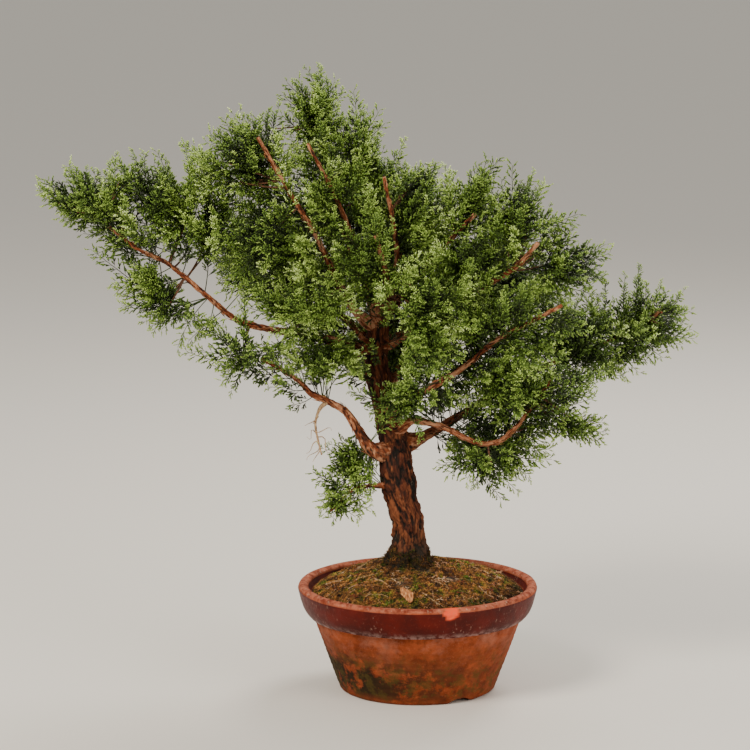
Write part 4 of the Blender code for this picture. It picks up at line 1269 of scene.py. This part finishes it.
spray_share = 2.6
thin_masses = ("foliage_far_right", "foliage_right_tip", "foliage_right_outer", "foliage_left_under",
               "foliage_left_drape", "foliage_left_low")
crown_heart = Vector((pot_axis.x - 0.02, pot_axis.y, 0.36))
masses = {name: mass_of(name) for name in foliage_names}
seen_wood = seen_stretches()
shoots = limb_shoots(random.Random(77))
leaf = scale_leaf()
spray_pattern = hidden_pattern("branchlet", spray_forms(random.Random(8)))
sprays = spray_tree()
side_twigs = []
for k, name in enumerate(foliage_names):
    twigs, lines = grow_mass(name, random.Random(100 + k))
    side_twigs += twigs
    lines += shoots[name]
    carrier = bpy.data.meshes.new(name + "_lines")
    points, edges, shade_depths, tints = [], [], [], []
    for line, depth, tint in lines:
        first = len(points)
        points += line
        edges += [(first + i, first + i + 1) for i in range(len(line) - 1)]
        shade_depths += depth
        tints += [tint] * len(line)
    carrier.from_pydata(points, edges, [])
    # Depth in the mass becomes painted shade on the leaves.
    point_values(carrier, "depth", shade_depths)
    point_values(carrier, "tint", tints)
    mesh = run_tree(sprays, carrier, {
        "Forms": spray_pattern, "Spacing": 0.0033, "Length": 0.0160, "Tilt": 0.66, "Bare": 0.25,
        "Axis radius": 0.0006, "Surface": leaf})
    piece(name + "_sprays", mesh, [leaf], [name])
drop_pattern(spray_pattern)

# Bark of young twigs is smooth and red-brown, with paler rings where leaves were.
young_tones = [(0.34, "#2e190c"), (0.52, "#5c3820"), (0.72, "#85593a")]
young_bark = mottled("young_juniper_bark", (300, 5, 0.7), young_tones, 0.8)
twig_parts = []
for k, twig in enumerate(side_twigs):
    line = [(place, 0.0012 - 0.0007 * i / (len(twig) - 1)) for i, place in enumerate(twig)]
    rings = tube_rings(line, 6, lambda turn, far, r: r * 0.2 * fractal((turn, far * 200, k), 1))
    twig_parts.append(rings_to_mesh("twig", rings))
piece("side_twigs", joined("side_twigs", twig_parts), [young_bark])

# ---- The room: floor, light and camera ----------------------------------------------------------
# A wide pale matt floor under an even pale sky, a large soft key from the upper left, a weaker
# fill from the right and a low rim light.


def studio_floor():
    """A wide flat sheet of matt paper."""
    mesh = bpy.data.meshes.new("studio_floor")
    mesh.from_pydata([(-14, -14, 0), (14, -14, 0), (14, 14, 0), (-14, 14, 0)], [], [(0, 1, 2, 3)])
    surface, tree, shader, _ = new_material("pale_matt_paper")
    set_inputs(tree, shader, {"Base Color": "#d9d5cd", "Roughness": 0.9})
    mesh.materials.append(surface)
    made = bpy.data.objects.new("studio_floor", mesh)
    bpy.context.scene.collection.objects.link(made)
    return made


def soft_light(name, place, target, size, power, tone):
    light = bpy.data.lights.new(name, "AREA")
    light.shape = "DISK"
    light.size = size
    light.energy = power
    light.color = linear(tone)[:3]
    made = bpy.data.objects.new(name, light)
    made.location = place
    made.rotation_euler = (Vector(target) - Vector(place)).to_track_quat("-Z", "Y").to_euler()
    bpy.context.scene.collection.objects.link(made)


studio_floor()
middle = (0.0, 0.0, 0.33)
soft_light("key", (-1.5, -1.7, 2.1), middle, 1.1, 86, "#fff4e6")
soft_light("fill", (1.9, -1.6, 1.0), middle, 1.6, 30, "#fff6ec")
soft_light("rim", (0.9, 1.3, 1.9), middle, 1.0, 38, "#fffaf2")
world = bpy.data.worlds.new("studio")
world.use_nodes = True
set_inputs(world.node_tree, world.node_tree.nodes["Background"], {"Color": "#e9e6e0", "Strength": 0.75})
bpy.context.scene.world = world

camera = bpy.data.objects.new("camera", bpy.data.cameras.new("camera"))
camera.data.lens = 152.118
camera.data.sensor_width = 36
camera.location = (0.0033, -3.118, 0.8423)
camera.rotation_euler = (math.radians(80.3868), 0, 0)
bpy.context.scene.collection.objects.link(camera)
bpy.context.scene.camera = camera
